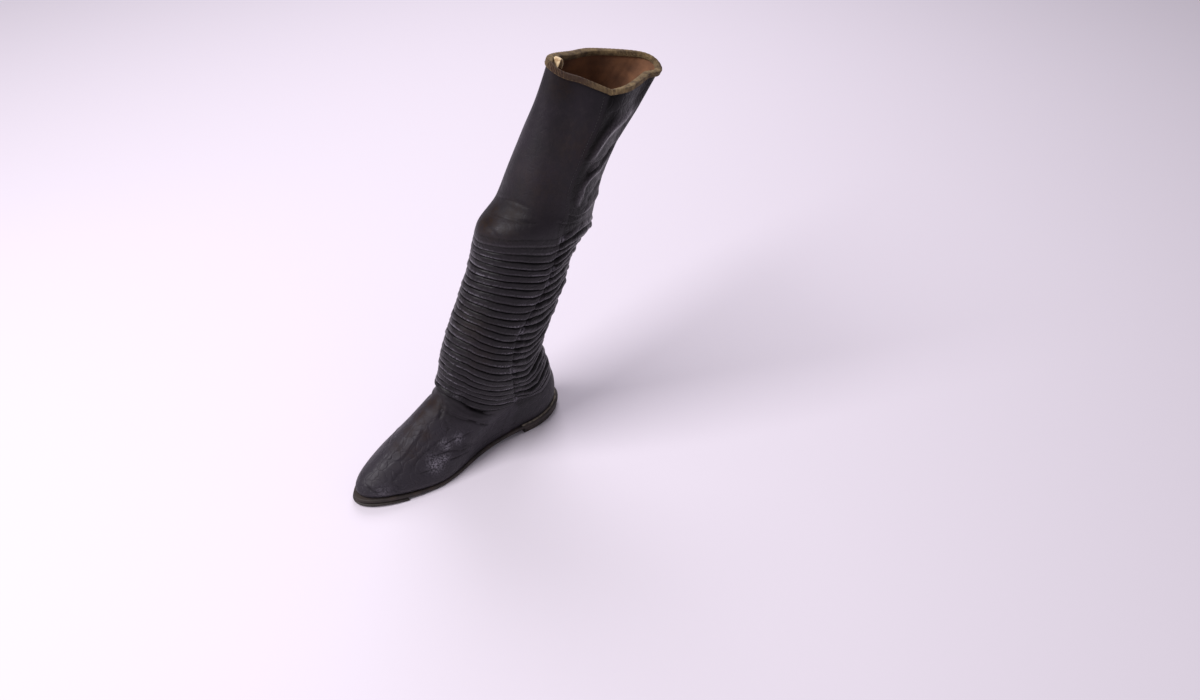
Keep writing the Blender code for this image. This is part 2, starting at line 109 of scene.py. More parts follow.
room = bpy.data.worlds.new("studio_room")
room.use_nodes = True
feed(room.node_tree.nodes["Background"], Color=from_hex("#f3eef8"), Strength=0.30)
bpy.context.scene.world = room
BOOT_MIDDLE = (0.0, 0.0, 0.2)
soft_box("key_soft_box", (1.15, -0.25, 1.70), BOOT_MIDDLE, 1.1, 0.9, 33, "#fffbff")
soft_box("far_soft_box", (-0.80, -0.90, 1.50), BOOT_MIDDLE, 1.0, 0.8, 13, "#fbf6ff")

# Upper: thin calf leather, dyed black, cut as a front panel with the vamp and a back panel.
# Both are stitched down in pleats over the ankle and the lower shaft, lapped and sewn at the
# sides, then pulled over a right foot's last. Wear has left folds, rubs and brown stains; shade
# and highlights are painted into its colour as well.
SOLE_LENGTH = 0.246
HEEL_REACH = 0.034            # from the heel's middle to the sole's back end
BALL_WIDTH = 0.084
INSTEP_HEIGHT = 0.084
SHAFT_RISE = 0.288            # from the instep's height to the collar's middle
SHAFT_LEAN_BACK = 0.1355
SHAFT_LEAN_SIDE = 0.021
COLLAR_DEPTH = 0.137
CALF_WIDTH = 0.070
ANKLE_PLACE = 0.317
SEAT_LIFT = 0.0063            # heel lift and its gap
OUTSOLE_THICKNESS = 0.0045
TOE_RISE = 0.0040
CLEARANCE = 0.0003
LIFT_BLEND = (0.255, 0.490)   # shares of the sole where its underside falls to the tread
TREAD_BLEND = (0.660, 0.950)  # shares of the sole where it rises to the toe
STATIONS = (0.12, 0.42, 0.70, 0.90)
HEEL_BLUNTNESS = 1.12
TOE_BLUNTNESS = 0.92
FLANK_BULGE = 0.7             # 1 makes the flanks beside a corner quite straight
ROUND_END = 0.2               # share of the depth at each end that a corner leaves round
LEATHER = 0.0009              # one thickness of the panels
LAP = 0.0005                  # the front panel stands over the back panel
PLEAT_COUNT = 26

# front, back: shares of the sole's length; rises and dip: shares of the instep's height
# settle: how closely the section follows the sole; widths: shares of half the ball's width
Foot = namedtuple("Foot", "front front_rise back back_rise dip settle heel waist ball toe")
FOOT_SECTIONS = (
    Foot(0.978, 0.000, 0.024, 0.000, 0.00, 1.00, 0.65, 0.65, 0.94, 0.54),
    Foot(0.984, 0.060, 0.018, 0.070, 0.00, 1.00, 0.68, 0.68, 0.97, 0.58),
    Foot(0.966, 0.140, 0.016, 0.180, 0.02, 0.90, 0.69, 0.70, 0.94, 0.54),
    Foot(0.903, 0.260, 0.019, 0.290, 0.05, 0.75, 0.67, 0.69, 0.88, 0.51),
    Foot(0.820, 0.400, 0.028, 0.400, 0.09, 0.55, 0.65, 0.71, 0.83, 0.49),
    Foot(0.737, 0.545, 0.040, 0.500, 0.13, 0.35, 0.63, 0.73, 0.79, 0.48),
    Foot(0.650, 0.700, 0.055, 0.590, 0.16, 0.15, 0.62, 0.76, 0.77, 0.48),
    Foot(0.570, 0.860, 0.067, 0.670, 0.17, 0.00, 0.61, 0.79, 0.77, 0.50),
)

# rise: share of the shaft's rise; lean: share of both leans; depth: share of the collar's depth
# tilt: degrees, front up; dip, roll: shares of half the calf's width; widths: the same
# corner: from 0, where the medial side is round, to 1, where it bends at its seam alone
Shaft = namedtuple("Shaft", "rise lean depth tilt dip roll heel waist ball toe corner")
SHAFT_SECTIONS = (
    Shaft(0.090, 0.000, 0.780, 10, 0.34, 0.00, 0.60, 0.98, 0.98, 0.66, 0.00),
    Shaft(0.194, 0.085, 0.780, 11, 0.24, -0.10, 0.63, 1.03, 1.00, 0.68, 0.00),
    Shaft(0.305, 0.195, 0.785, 12, 0.14, -0.16, 0.64, 1.07, 1.02, 0.68, 0.00),
    Shaft(0.420, 0.282, 0.760, 13, 0.07, -0.18, 0.64, 1.08, 1.03, 0.68, 0.00),
    Shaft(0.520, 0.400, 0.900, 14, 0.00, -0.18, 0.65, 1.10, 1.06, 0.70, 0.00),
    Shaft(0.590, 0.505, 0.750, 15, 0.00, -0.13, 0.65, 1.08, 1.04, 0.72, 0.10),
    Shaft(0.680, 0.580, 0.705, 17, 0.00, -0.06, 0.68, 1.09, 1.01, 0.66, 0.25),
    Shaft(0.780, 0.685, 0.710, 18, 0.00, 0.02, 0.68, 1.09, 0.98, 0.58, 0.40),
    Shaft(0.890, 0.835, 0.810, 17, 0.13, 0.16, 0.62, 1.00, 0.86, 0.45, 0.60),
    Shaft(1.000, 0.977, 0.930, 15.5, 0.27, 0.285, 0.50, 0.85, 0.575, 0.33, 0.75),
)

# The last's centre line: share of the sole's length, sideways place as a share of the ball's width
SwingPoint = namedtuple("SwingPoint", "place offset")
SWING = (
    SwingPoint(-0.10, 0.000),
    SwingPoint(0.12, 0.000),
    SwingPoint(0.40, -0.035),
    SwingPoint(0.62, -0.055),
    SwingPoint(0.74, -0.030),
    SwingPoint(0.90, 0.010),
    SwingPoint(1.00, 0.020),
    SwingPoint(1.10, 0.020),
)

# The pleated field's lower and upper edges, as section numbers, by the angle from the front
PleatEdge = namedtuple("PleatEdge", "angle low high")
PLEAT_FIELD = (
    PleatEdge(0, 7.20, 11.90),
    PleatEdge(30, 7.15, 11.92),
    PleatEdge(47, 6.92, 11.95),
    PleatEdge(72, 6.50, 11.88),
    PleatEdge(86, 5.90, 12.05),
    PleatEdge(100, 4.70, 12.22),
    PleatEdge(112, 4.05, 12.32),
    PleatEdge(130, 4.25, 12.30),
    PleatEdge(180, 4.20, 12.20),
)

# The side seams' angle from the front, by section number
SeamPoint = namedtuple("SeamPoint", "section angle")
SEAM_LINE = (
    SeamPoint(0.0, 113),
    SeamPoint(3.7, 111),
    SeamPoint(7.4, 91),
    SeamPoint(9.1, 78),
    SeamPoint(10.8, 95),
    SeamPoint(12.6, 86),
    SeamPoint(14.0, 76),
    SeamPoint(17.0, 77),
)

# Folds of the worn leather. path: section number and angle from the front, in degrees, from the
# lateral side to the medial side; depth of the trough, its half-width and the height of the lip
# on its upper side, in millimetres. A negative depth is a ridge.
Fold = namedtuple("Fold", "path depth width lip")
FOLDS = (
    # the shaft sinks over the instep
    Fold(((7.25, -62), (7.2, -20), (7.2, 7), (7.16, 32), (6.92, 47), (6.6, 66), (5.9, 84)),
         2.6, 1.7, 2.0),
    Fold(((7.0, 6), (6.86, 26), (6.62, 44), (6.34, 60), (5.9, 74)), -1.1, 1.5, 0),
    Fold(((6.55, 12), (6.46, 34), (6.3, 46), (6.05, 60), (5.4, 76), (5.0, 84)), 1.4, 1.3, 0.9),
    Fold(((6.3, -62), (6.5, -40), (6.6, -16)), 1.4, 2.4, 1.0),
    Fold(((7.05, -6), (6.8, 12), (6.4, 22), (5.9, 27)), 0.9, 1.6, 0.5),
    # creases of the vamp where the toes bend
    Fold(((4.6, 34), (4.2, 46), (3.8, 52), (3.9, 60), (3.6, 70), (3.0, 84), (1.6, 96)),
         0.9, 1.1, 1.0),
    Fold(((5.1, 58), (4.9, 56), (4.6, 53), (4.2, 51)), 0.9, 1.1, 1.0),
    Fold(((5.3, 66), (5.0, 62), (4.7, 60)), 0.8, 1.0, 0.9),
    Fold(((5.9, 10), (5.2, 22), (4.5, 25), (3.9, 26), (3.3, 22)), 0.5, 1.2, 0.5),
    Fold(((6.4, -4), (5.6, 0), (4.6, 6), (3.8, 9), (3.0, 10)), -0.6, 1.6, 0),
    Fold(((3.6, -52), (4.0, -30), (4.1, -8)), 1.0, 1.8, 0.6),
    Fold(((2.4, 84), (2.9, 74), (3.1, 62)), 0.9, 1.1, 0.6),
    Fold(((2.3, 66), (2.7, 58), (2.6, 48)), 0.8, 1.0, 0.5),
    Fold(((2.2, 12), (1.7, 20), (1.2, 31)), 0.9, 1.1, 0.6),
    Fold(((1.6, 36), (1.2, 40), (0.8, 42)), 0.7, 0.9, 0.4),
    Fold(((3.4, 34), (2.7, 33), (2.0, 38), (1.5, 46)), 0.5, 1.2, 0.3),
    Fold(((5.6, 40), (5.0, 44), (4.4, 42), (3.6, 40), (2.9, 44)), 0.6, 1.1, 0.6),
    Fold(((4.4, 66), (3.6, 72), (2.6, 74)), 0.6, 1.0, 0.5),
    Fold(((6.2, 30), (5.8, 40), (5.3, 46)), 0.7, 1.2, 0.7),
    # the upper edge of the strip that stays smooth along the sole
    Fold(((3.2, 79), (1.7, 97), (1.5, 106), (1.3, 118)), 0.35, 1.5, 0.4),
    # the plain shaft settles on the pleated part
    Fold(((13.0, -44), (13.12, -20), (13.24, 2), (13.26, 16), (13.2, 29), (13.14, 43)),
         0.7, 1.6, 0.1),
    Fold(((12.5, -44), (12.6, -14), (12.64, 9), (12.64, 23), (12.64, 51), (12.68, 66)),
         1.0, 1.5, 0.1),
    Fold(((12.22, -19), (12.34, -5), (12.18, 14), (12.02, 23), (11.88, 34)), 0.7, 1.3, 0.1),
    # small creases behind the medial seam, above the first pleats
    Fold(((13.5, 82), (13.2, 90), (13.05, 100), (13.1, 116)), 0.9, 1.3, 0.7),
    Fold(((13.0, 80), (12.8, 90), (12.7, 102), (12.75, 120)), 1.0, 1.3, 0.7),
    Fold(((12.7, 72), (12.5, 84), (12.42, 96), (12.45, 112)), 0.9, 1.2, 0.6),
    Fold(((13.9, 84), (13.6, 92), (13.3, 96)), 0.7, 1.2, 0.5),
)
# Slack folds of the back panel: soft ridges and the hollows between them, and a long soft dent
# down the front panel beside the seam
SLACK_FOLDS = (
    Fold(((16.3, 148), (15.94, 121), (15.86, 102), (15.6, 92), (15.1, 87), (14.5, 82)),
         -3.2, 5.4, 0),
    Fold(((15.3, 156), (14.9, 132), (14.66, 118), (14.6, 102), (14.44, 94), (14.2, 89)),
         2.4, 3.6, 0),
    Fold(((14.8, 150), (14.5, 120), (14.38, 103), (14.18, 95), (13.9, 91), (13.4, 91), (13.1, 95)),
         -2.4, 3.6, 0),
    Fold(((14.1, 156), (13.7, 130), (13.46, 114), (13.2, 108)), 1.5, 3.6, 0),
    Fold(((13.5, 156), (13.1, 130), (12.9, 106)), -1.8, 3.2, 0),
    Fold(((16.6, 90), (16.1, 86), (15.6, 84), (15.1, 81), (14.7, 78)), 1.3, 5.0, 0),
    Fold(((15.8, -156), (15.1, -128), (14.2, -98)), 1.3, 7.0, 0),
    Fold(((14.9, -156), (14.2, -126), (13.6, -100)), -1.2, 6.0, 0),
    Fold(((13.7, -150), (13.4, -128), (13.1, -106)), 1.0, 5.0, 0),
    Fold(((16.2, 50), (15.4, 55), (14.6, 57), (13.8, 60), (13.2, 66)), 0.4, 7.0, 0),
)

# Marks on the leather. place: section number and angle; reach in millimetres
Mark = namedtuple("Mark", "place reach strength")
STAINS = (
    Mark((12.40, -4), 13, 0.9),
    Mark((12.85, 20), 13, 0.45),
    Mark((12.30, 30), 11, 0.35),
    Mark((12.75, -12), 9, 0.7),
    Mark((12.15, 14), 9, 0.5),
    Mark((6.55, 0), 10, 0.7),
    Mark((5.9, -2), 11, 0.6),
    Mark((5.2, 2), 10, 0.45),
    Mark((5.2, 25), 7, 0.5),
    Mark((4.4, 8), 9, 0.35),
    Mark((4.2, 29), 8, 0.4),
    Mark((16.7, 34), 14, 0.5),
    Mark((15.2, 62), 22, 0.35),
    Mark((13.9, 40), 26, 0.3),
    Mark((9.4, 22), 16, 0.35),
    Mark((8.6, 44), 14, 0.25),
)
# Pale scuffs, and one painted highlight: the small speck at the shoulder
SCUFFS_AND_GLINT = (
    Mark((3.02, 58), 7, 1.0),
    Mark((3.35, 61), 5, 0.8),
    Mark((4.85, 59), 5, 0.7),
    Mark((4.45, 54), 5, 0.7),
    Mark((4.75, 49), 4, 0.5),
    Mark((3.6, 52), 6, 0.45),
    Mark((1.1, 30), 8, 0.35),
    # a painted highlight speck
    Mark((12.28, 19), 0.9, 0.9),
    Mark((7.35, 28), 5, 0.3),
)

LAST_SECTION = len(FOOT_SECTIONS) + len(SHAFT_SECTIONS) - 1
SOLE_BACK = -HEEL_REACH


def ease(t):
    """Goes from 0 to 1 with level ends."""
    t = np.clip(t, 0, 1)
    return t * t * (3 - 2 * t)


def curve(places, values, at):
    """A smooth curve through the values at the given places that never overshoots them."""
    places = np.asarray(places, float)
    at = np.asarray(at, float)
    values = np.array([np.broadcast_to(value, at.shape) for value in values], float)
    spans = np.diff(places).reshape(-1, *[1] * at.ndim)
    secants = np.diff(values, axis=0) / spans
    before, after = secants[:-1], secants[1:]
    same_way = before * after > 0
    inner = 2 * before * after / np.where(same_way, before + after, 1)
    slopes = np.concatenate([secants[:1], np.where(same_way, inner, 0), secants[-1:]])
    low = np.clip(np.searchsorted(places, at, side="right") - 1, 0, len(places) - 2)
    span = places[low + 1] - places[low]
    t = (at - places[low]) / span
    first, second = (np.take_along_axis(values, step[None], 0)[0] for step in (low, low + 1))
    leaving, coming = (np.take_along_axis(slopes, step[None], 0)[0] for step in (low, low + 1))
    return (
        (2 * t**3 - 3 * t**2 + 1) * first
        + (t**3 - 2 * t**2 + t) * span * leaving
        + (3 * t**2 - 2 * t**3) * second
        + (t**3 - t**2) * span * coming
    )


def along_foot(x):
    """Share of the sole's length at a place x."""
    return (np.asarray(x, float) - SOLE_BACK) / SOLE_LENGTH


def sole_underside(x):
    """Height of the outsole's lower face: heel seat, arch, flat tread and toe spring."""
    share = along_foot(x)
    arch = 1 - ease((share - LIFT_BLEND[0]) / (LIFT_BLEND[1] - LIFT_BLEND[0]))
    spring = ease((share - TREAD_BLEND[0]) / (TREAD_BLEND[1] - TREAD_BLEND[0]))
    return SEAT_LIFT * arch + TOE_RISE * spring


def sole_top(x):
    return sole_underside(x) + OUTSOLE_THICKNESS


def swing(x):
    """Sideways place of the last's centre line."""
    points = np.array(SWING)
    return BALL_WIDTH * curve(points[:, 0], points[:, 1], along_foot(x))


def half_width(widths, share):
    """Reach of the outline to either side, before the sine that rounds its ends."""
    rounding = [2 * (s * (1 - s)) ** 0.5 for s in STATIONS]
    reach = [width / r for width, r in zip(widths, rounding)]
    values = (reach[0] * HEEL_BLUNTNESS, *reach, reach[-1] * TOE_BLUNTNESS)
    return curve((0, *STATIONS, 1), values, share)


Section = namedtuple("Section", (
    "front_x front_z back_x back_z shift dip roll settle bend heel waist ball toe corner"))


def section_table():
    """Every section of the upper in metres, from the sole's seat to the collar."""
    rows = []
    ball = BALL_WIDTH / 2
    for number, row in enumerate(FOOT_SECTIONS):
        front = SOLE_BACK + row.front * SOLE_LENGTH
        back = SOLE_BACK + row.back * SOLE_LENGTH
        rows.append(Section(
            front, sole_top(front) + CLEARANCE + row.front_rise * INSTEP_HEIGHT,
            back, sole_top(back) + CLEARANCE + row.back_rise * INSTEP_HEIGHT,
            0, row.dip * INSTEP_HEIGHT, 0, row.settle, 1 - ease(number / len(FOOT_SECTIONS)),
            row.heel * ball, row.waist * ball, row.ball * ball, row.toe * ball, 0,
        ))
    calf = CALF_WIDTH / 2
    for row in SHAFT_SECTIONS:
        middle_x = SOLE_BACK + ANKLE_PLACE * SOLE_LENGTH - row.lean * SHAFT_LEAN_BACK
        middle_z = INSTEP_HEIGHT + row.rise * SHAFT_RISE
        reach = row.depth * COLLAR_DEPTH / 2
        reach_x = reach * np.cos(radians(row.tilt))
        reach_z = reach * np.sin(radians(row.tilt))
        side = SHAFT_LEAN_SIDE * middle_z / (INSTEP_HEIGHT + SHAFT_RISE)
        rows.append(Section(
            middle_x + reach_x, middle_z + reach_z, middle_x - reach_x, middle_z - reach_z,
            side, row.dip * calf, row.roll * calf, 0, 0,
            row.heel * calf, row.waist * calf, row.ball * calf, row.toe * calf, row.corner,
        ))
    return np.array(rows, float)


SECTIONS = section_table()


def seam_angle(section):
    """Angle of the side seams from the front, in radians."""
    points = np.array(SEAM_LINE)
    return np.radians(curve(points[:, 0], points[:, 1], section))


def last_point(section, angle):
    """Point of the upper's smooth outer face; both values may be arrays of one shape."""
    section, angle = np.broadcast_arrays(np.asarray(section, float), np.asarray(angle, float))
    numbers = np.arange(len(SECTIONS))
    row = Section(*(curve(numbers, column, section) for column in SECTIONS.T))
    share = (1 + np.cos(angle)) / 2
    reach = half_width((row.heel, row.waist, row.ball, row.toe), share)
    seam = seam_angle(section)
    seam_share = (1 + np.cos(seam)) / 2
    flank_share = np.minimum((1 - share) / (1 - seam_share), share / seam_share)
    flank = np.sin(seam) * flank_share**FLANK_BULGE
    side = np.sin(angle)
    bent = row.corner * ease(np.minimum(share, 1 - share) / ROUND_END)
    side = np.where(side > 0, side + bent * (flank - side), side)
    x = row.back_x + (row.front_x - row.back_x) * share
    plane = row.back_z + (row.front_z - row.back_z) * share
    seat = sole_top(row.back_x) * (1 - share) + sole_top(row.front_x) * share
    z = plane + row.settle * (sole_top(x) - seat) - row.dip * side**2 - row.roll * side
    y = row.shift + row.bend * swing(x) + reach * side
    return np.stack([x, y, z], axis=-1)


def outward(section, angle):
    """Unit normal of the smooth outer face."""
    step = 0.01               # of a section, and of a radian
    up = last_point(np.minimum(section + step, LAST_SECTION), angle) - last_point(
        np.maximum(section - step, 0), angle)
    around = last_point(section, angle + step) - last_point(section, angle - step)
    normal = np.cross(around, up)
    return normal / np.linalg.norm(normal, axis=-1, keepdims=True)


# Rows of the panels: below the pleats, within each pleat as shares of it, and above the pleats
FOOT_ROWS = 110
PLEAT_SHARES = (0.0, 0.04, 0.09, 0.16, 0.27, 0.42, 0.58, 0.74, 0.86, 0.94)
CALF_ROWS = 96
PANEL_COLUMNS = 60            # from the front or the back to a side seam
MIDDLE_SECTION = 9.0          # in the middle of the pleated field
FIELD_STEPS = 80              # for measuring the field's length down one column

front_shares = np.arange(PANEL_COLUMNS + 1) / PANEL_COLUMNS
half_turn = np.concatenate([front_shares, 1 + front_shares[1:]])
# A column's turn is 0 at the front, 1 or -1 at a side seam and 2 or -2 at the back
turns = np.concatenate([half_turn, -half_turn[1:-1][::-1]])


def turn_to_angle(section, turn):
    """Angle from the front, in radians, of a column's turn at a section."""
    seam = seam_angle(section)
    size = np.abs(turn)
    angle = np.where(size <= 1, seam * size, seam + (pi - seam) * (size - 1))
    return np.sign(turn) * angle


def pleat_waver(turn, share):
    """How far a pleat's groove strays from its even place, in pleats."""
    return (
        0.10 * np.sin(2.2 * turn + 17 * share)
        + 0.06 * np.sin(4.3 * turn - 29 * share + 1.3)
        + 0.10 * np.sin(19 * turn + 83 * share + 0.4) * ease(1.2 - np.abs(np.abs(turn) - 1) * 7)
    )


def column_rows(turn):
    """Section numbers along one column of the panels, from the sole to the collar."""
    fields = np.array(PLEAT_FIELD)
    angle = turn_to_angle(MIDDLE_SECTION, turn)
    shares = np.append(np.concatenate([
        (k + np.array(PLEAT_SHARES)) / PLEAT_COUNT for k in range(PLEAT_COUNT)]), 1.0)
    edge = np.minimum(shares, 1 - shares) * PLEAT_COUNT
    shares = shares + pleat_waver(turn, shares) * np.clip(edge, 0, 1) / PLEAT_COUNT
    # the field's edges depend on the column's angle and that on the section, so both settle
    for _ in range(3):
        turned = np.abs(np.degrees(angle))
        low = np.interp(turned, fields[:, 0], fields[:, 1])
        high = np.interp(turned, fields[:, 0], fields[:, 2])
        numbers = np.linspace(low, high, FIELD_STEPS)
        steps = np.linalg.norm(np.diff(last_point(numbers, angle), axis=0), axis=1)
        travelled = np.concatenate([[0], np.cumsum(steps)])
        pleated_part = np.interp(shares * travelled[-1], travelled, numbers)
        angle = turn_to_angle(pleated_part[len(pleated_part) // 2], turn)
    foot = np.linspace(0, pleated_part[0], FOOT_ROWS, endpoint=False)
    calf = np.linspace(pleated_part[-1], LAST_SECTION, CALF_ROWS + 1)[1:]
    return np.concatenate([foot, pleated_part, calf])


row_sections = np.array([column_rows(turn) for turn in turns]).T
row_turns = np.broadcast_to(turns, row_sections.shape)
row_angles = turn_to_angle(row_sections, row_turns)
smooth = last_point(row_sections, row_angles)
facing = outward(row_sections, row_angles)
row_count, column_count = row_sections.shape


def path_on_last(path, count):
    """Section numbers and points of a smooth path over the upper."""
    spots = np.array(path, float)
    steps = np.linspace(0, len(spots) - 1, count)
    numbers = np.arange(len(spots))
    sections = curve(numbers, spots[:, 0], steps)
    return sections, last_point(sections, np.radians(curve(numbers, spots[:, 1], steps)))


FOLD_STEPS = 28
LIP_PLACE = 1.7               # from the trough's middle, in its half-widths
LIP_WIDTH = 1.3               # in the trough's half-widths


def fold_height(fold):
    """Height that one fold adds to every point of the upper, in metres."""
    sections, spots = path_on_last(fold.path, FOLD_STEPS)
    width = fold.width / 1000
    # farther off than this the fold adds nothing
    edge = 4 * width
    inside = (smooth > spots.min(axis=0) - edge) & (smooth < spots.max(axis=0) + edge)
    picked = np.all(inside, axis=-1)
    points, levels = smooth[picked], row_sections[picked]
    near = np.full(len(points), 1.0)
    signed, fade = np.ones(len(points)), np.zeros(len(points))
    for k in range(FOLD_STEPS - 1):
        along = spots[k + 1] - spots[k]
        t = np.clip(((points - spots[k]) @ along) / (along @ along), 0, 1)
        gap = np.linalg.norm(points - spots[k] - t[:, None] * along, axis=1)
        closer = gap < near
        place = (k + t) / (FOLD_STEPS - 1)
        level = sections[k] + (sections[k + 1] - sections[k]) * t
        near = np.where(closer, gap, near)
        signed = np.where(closer, np.where(levels > level, gap, -gap), signed)
        fade = np.where(closer, ease(4 * place) * ease(4 * (1 - place)), fade)
    trough = -fold.depth * np.exp(-(near / width) ** 2)
    lip = fold.lip * np.exp(-((signed - LIP_PLACE * width) / (LIP_WIDTH * width)) ** 2)
    height = np.zeros(row_sections.shape)
    height[picked] = fade * (trough + lip) / 1000
    return height


def marked(marks):
    """Strength of a set of soft round marks at every point of the upper."""
    total = np.zeros(row_sections.shape)
    for mark in marks:
        middle = last_point(mark.place[0], radians(mark.place[1]))
        gap = np.linalg.norm(smooth - middle, axis=-1) * 1000
        total = np.maximum(total, mark.strength * np.exp(-(gap / mark.reach) ** 2))
    return total


creases = sum(fold_height(fold) for fold in FOLDS)
slack = sum(fold_height(fold) for fold in SLACK_FOLDS)
drape = creases + slack

# Place within the pleated field, counted in pleats from its lower edge
pleat_rows = np.arange(PLEAT_COUNT * len(PLEAT_SHARES) + 1)
pleat_place = pleat_rows // len(PLEAT_SHARES) + np.append(
    np.tile(PLEAT_SHARES, PLEAT_COUNT), 0.0)
in_pleat = (pleat_place % 1)[:, None]
pleat_number = np.floor(pleat_place)[:, None]
turn_size = np.abs(turns)[None, :]
# distance of every point from the nearer side seam
seam_columns = (PANEL_COLUMNS, column_count - PANEL_COLUMNS)
seam_gap = np.min([
    np.linalg.norm(smooth - smooth[:, [column]], axis=-1) for column in seam_columns], axis=0)
field = slice(FOOT_ROWS, FOOT_ROWS + len(pleat_rows))

FRONT_PLEAT = 0.0018          # height of the flat tucks of the front panel
BACK_PLEAT = 0.0029           # height of the deeper pleats of the back panel
SEAM_DENT = 0.0005            # the sewing pulls this fine dent down each side seam
# 0 on the front panel and 1 on the back panel
backness = ease((turn_size - 0.95) / 0.10)
# a front tuck rises steeply and slopes away, and a back pleat is a round ridge
tuck = ease(in_pleat / 0.17) * (1 - 0.42 * in_pleat) * ease((1 - in_pleat) / 0.13)
ridge = np.sin(pi * in_pleat ** 0.9) ** 0.8
# no two pleats stand equally high, and one pleat changes on its way round
wander = (
    1
    + 0.16 * np.sin(2.3 * pleat_number + 2.1 * turns[None, :])
    + 0.12 * np.sin(4.7 * pleat_number - 3.3 * turns[None, :] + 1.0)
    + 0.12 * np.sin(5.1 * pleat_number + 13 * turns[None, :])
    + 0.08 * np.sin(3.1 * pleat_number - 29 * turns[None, :])
)
# the front panel's tucks are pressed flatter halfway to the seams
flatter = 1 - 0.2 * np.exp(-((turn_size - 0.5) / 0.2) ** 2)
# the pleats run out at both ends of the field and are held down beside the seams
top_fade = ease((PLEAT_COUNT - pleat_place[:, None]) / (1.0 + 2.5 * (1 - backness)))
low_fade = ease(pleat_place[:, None] / (0.6 + 2.0 * backness))
pucker = 1 - 0.3 * np.exp(-(seam_gap[field] / 0.0018) ** 2)
height = FRONT_PLEAT * tuck * flatter * (1 - backness) + BACK_PLEAT * ridge * backness
pleats = np.zeros(row_sections.shape)
pleats[field] = height * wander * pucker * (0.15 + 0.85 * top_fade) * low_fade
dent = np.exp(-(seam_gap / 0.0013) ** 2)
pleats[field] -= SEAM_DENT * dent[field]

# Marks that the leather's colour and shine follow, from 0 to 1
stain = marked(STAINS)
scuff_and_glint = marked(SCUFFS_AND_GLINT)
# painted shade: the creases and the pleats' grooves are darkened, and so are the dents down the
# side seams
hollow_shade = np.clip(-creases / 0.0016, 0, 1)
groove = np.maximum(1 - in_pleat / 0.17, 1 - (1 - in_pleat) / 0.17).clip(0, 1) ** 0.7
hollow_shade[field] = np.maximum(hollow_shade[field], groove * (0.35 + 0.65 * top_fade))
seam_dent_shade = (0.4 + 0.3 * np.sin(2.9 * pleat_number)) * dent[field]
hollow_shade[field] = np.maximum(hollow_shade[field], seam_dent_shade)
# painted highlights: thin pale lines along the pleats' crests, most of all beside the seams, and
# pale specks on some crests right beside the seams
crest = np.exp(-((in_pleat - 0.25) / 0.10) ** 2)
highlight_part = np.exp(-((turn_size - 0.12) / 0.16) ** 2) + np.exp(-((turn_size - 0.92) / 0.14) ** 2)
broken = 0.55 + 0.45 * np.sin(1.9 * pleat_number + 7 * turns[None, :])
crest_highlight = crest * (0.25 + 0.75 * highlight_part) * broken
glinting_pleats = np.sin(5.3 * pleat_number + 2.0) + 0.25 + 0.6 * np.sin(2.1 * pleat_number)
seam_glint = np.exp(-((seam_gap[field] - 0.0016) / 0.0010) ** 2) * np.clip(glinting_pleats, 0, 1)
scuff_and_glint[field] = np.maximum(scuff_and_glint[field], np.maximum(seam_glint * ridge, crest_highlight * top_fade))
# the crests and the back panel's slack ridges are glossier, carry painted highlights and are
# spared the painted shade
crest_shine = np.zeros(row_sections.shape)
crest_shine[field] = ridge ** 4 * backness + (0.2 * tuck + 0.6 * crest) * (1 - backness)
crest_shine = np.maximum(crest_shine, np.clip(slack / 0.0022, 0, 1))
# strength of the back panel's own look, which is weaker in the foot: coarser creases, more gloss,
# painted shade and painted highlights on its ridges; the whole pleated field takes a good part of
# it
back_share = ease((np.abs(row_turns) - 0.97) / 0.06)
back_share *= 0.45 + 0.55 * ease((row_sections - 3.5) / 1.5)
back_share[field] = np.maximum(back_share[field], 0.6)
pleated_share = np.zeros(row_sections.shape)
pleated_share[field] = top_fade
vamp_share = ease((6.6 - row_sections) / 1.2)
# the leather behind each side seam lies in the shade of the seam's edge
by_seam = np.exp(-((np.abs(row_turns) - 1) / 0.12) ** 2)
shade = 0.55 * back_share * ease((row_sections - 13.4) / 0.8) * by_seam
# painted shade over the first pleats of the front panel
shade_over_pleats = 0.3 * (1 - back_share) * np.exp(-((row_sections - 12.8) / 0.9) ** 2)
panel_marks = {
    "stain": stain,
    "scuff_and_glint": scuff_and_glint,
    "hollow_shade": hollow_shade,
    "shine": crest_shine,
    "back": back_share,
    "vamp": vamp_share,
    "shade": np.maximum(shade, shade_over_pleats),
    "pleated": pleated_share,
}


def new_piece(name, vertices, faces, finish, marks=None, sharp=50):
    """A mesh object at the origin that faces outwards, with its marks as attributes."""
    mesh = bpy.data.meshes.new(name)
    mesh.from_pydata(np.asarray(vertices, float).tolist(), [], faces)
    for mark, values in (marks or {}).items():
        layer = mesh.attributes.new(mark, "FLOAT", "POINT")
        layer.data.foreach_set("value", np.asarray(values, np.float32))
    turned = bmesh.new()
    turned.from_mesh(mesh)
    bmesh.ops.recalc_face_normals(turned, faces=turned.faces)
    turned.to_mesh(mesh)
    turned.free()
    mesh.shade_smooth()
    mesh.set_sharp_from_angle(angle=radians(sharp))
    mesh.materials.append(finish)
    piece = bpy.data.objects.new(name, mesh)
    bpy.context.scene.collection.objects.link(piece)
    return piece


def grid_faces(rows, across, start=0, ring=True, loop=False, inward=False):
    """Faces between the rows of a grid of points from a start index.

    A ring closes each row on itself, and a loop joins the last row to the first.
    """
    faces = []
    for row in range(rows if loop else rows - 1):
        here, there = start + row * across, start + (row + 1) % rows * across
        for k in range(across if ring else across - 1):
            after = (k + 1) % across
            face = (here + k, here + after, there + after, there + k)
            faces.append((face[0], *face[:0:-1]) if inward else face)
    return faces


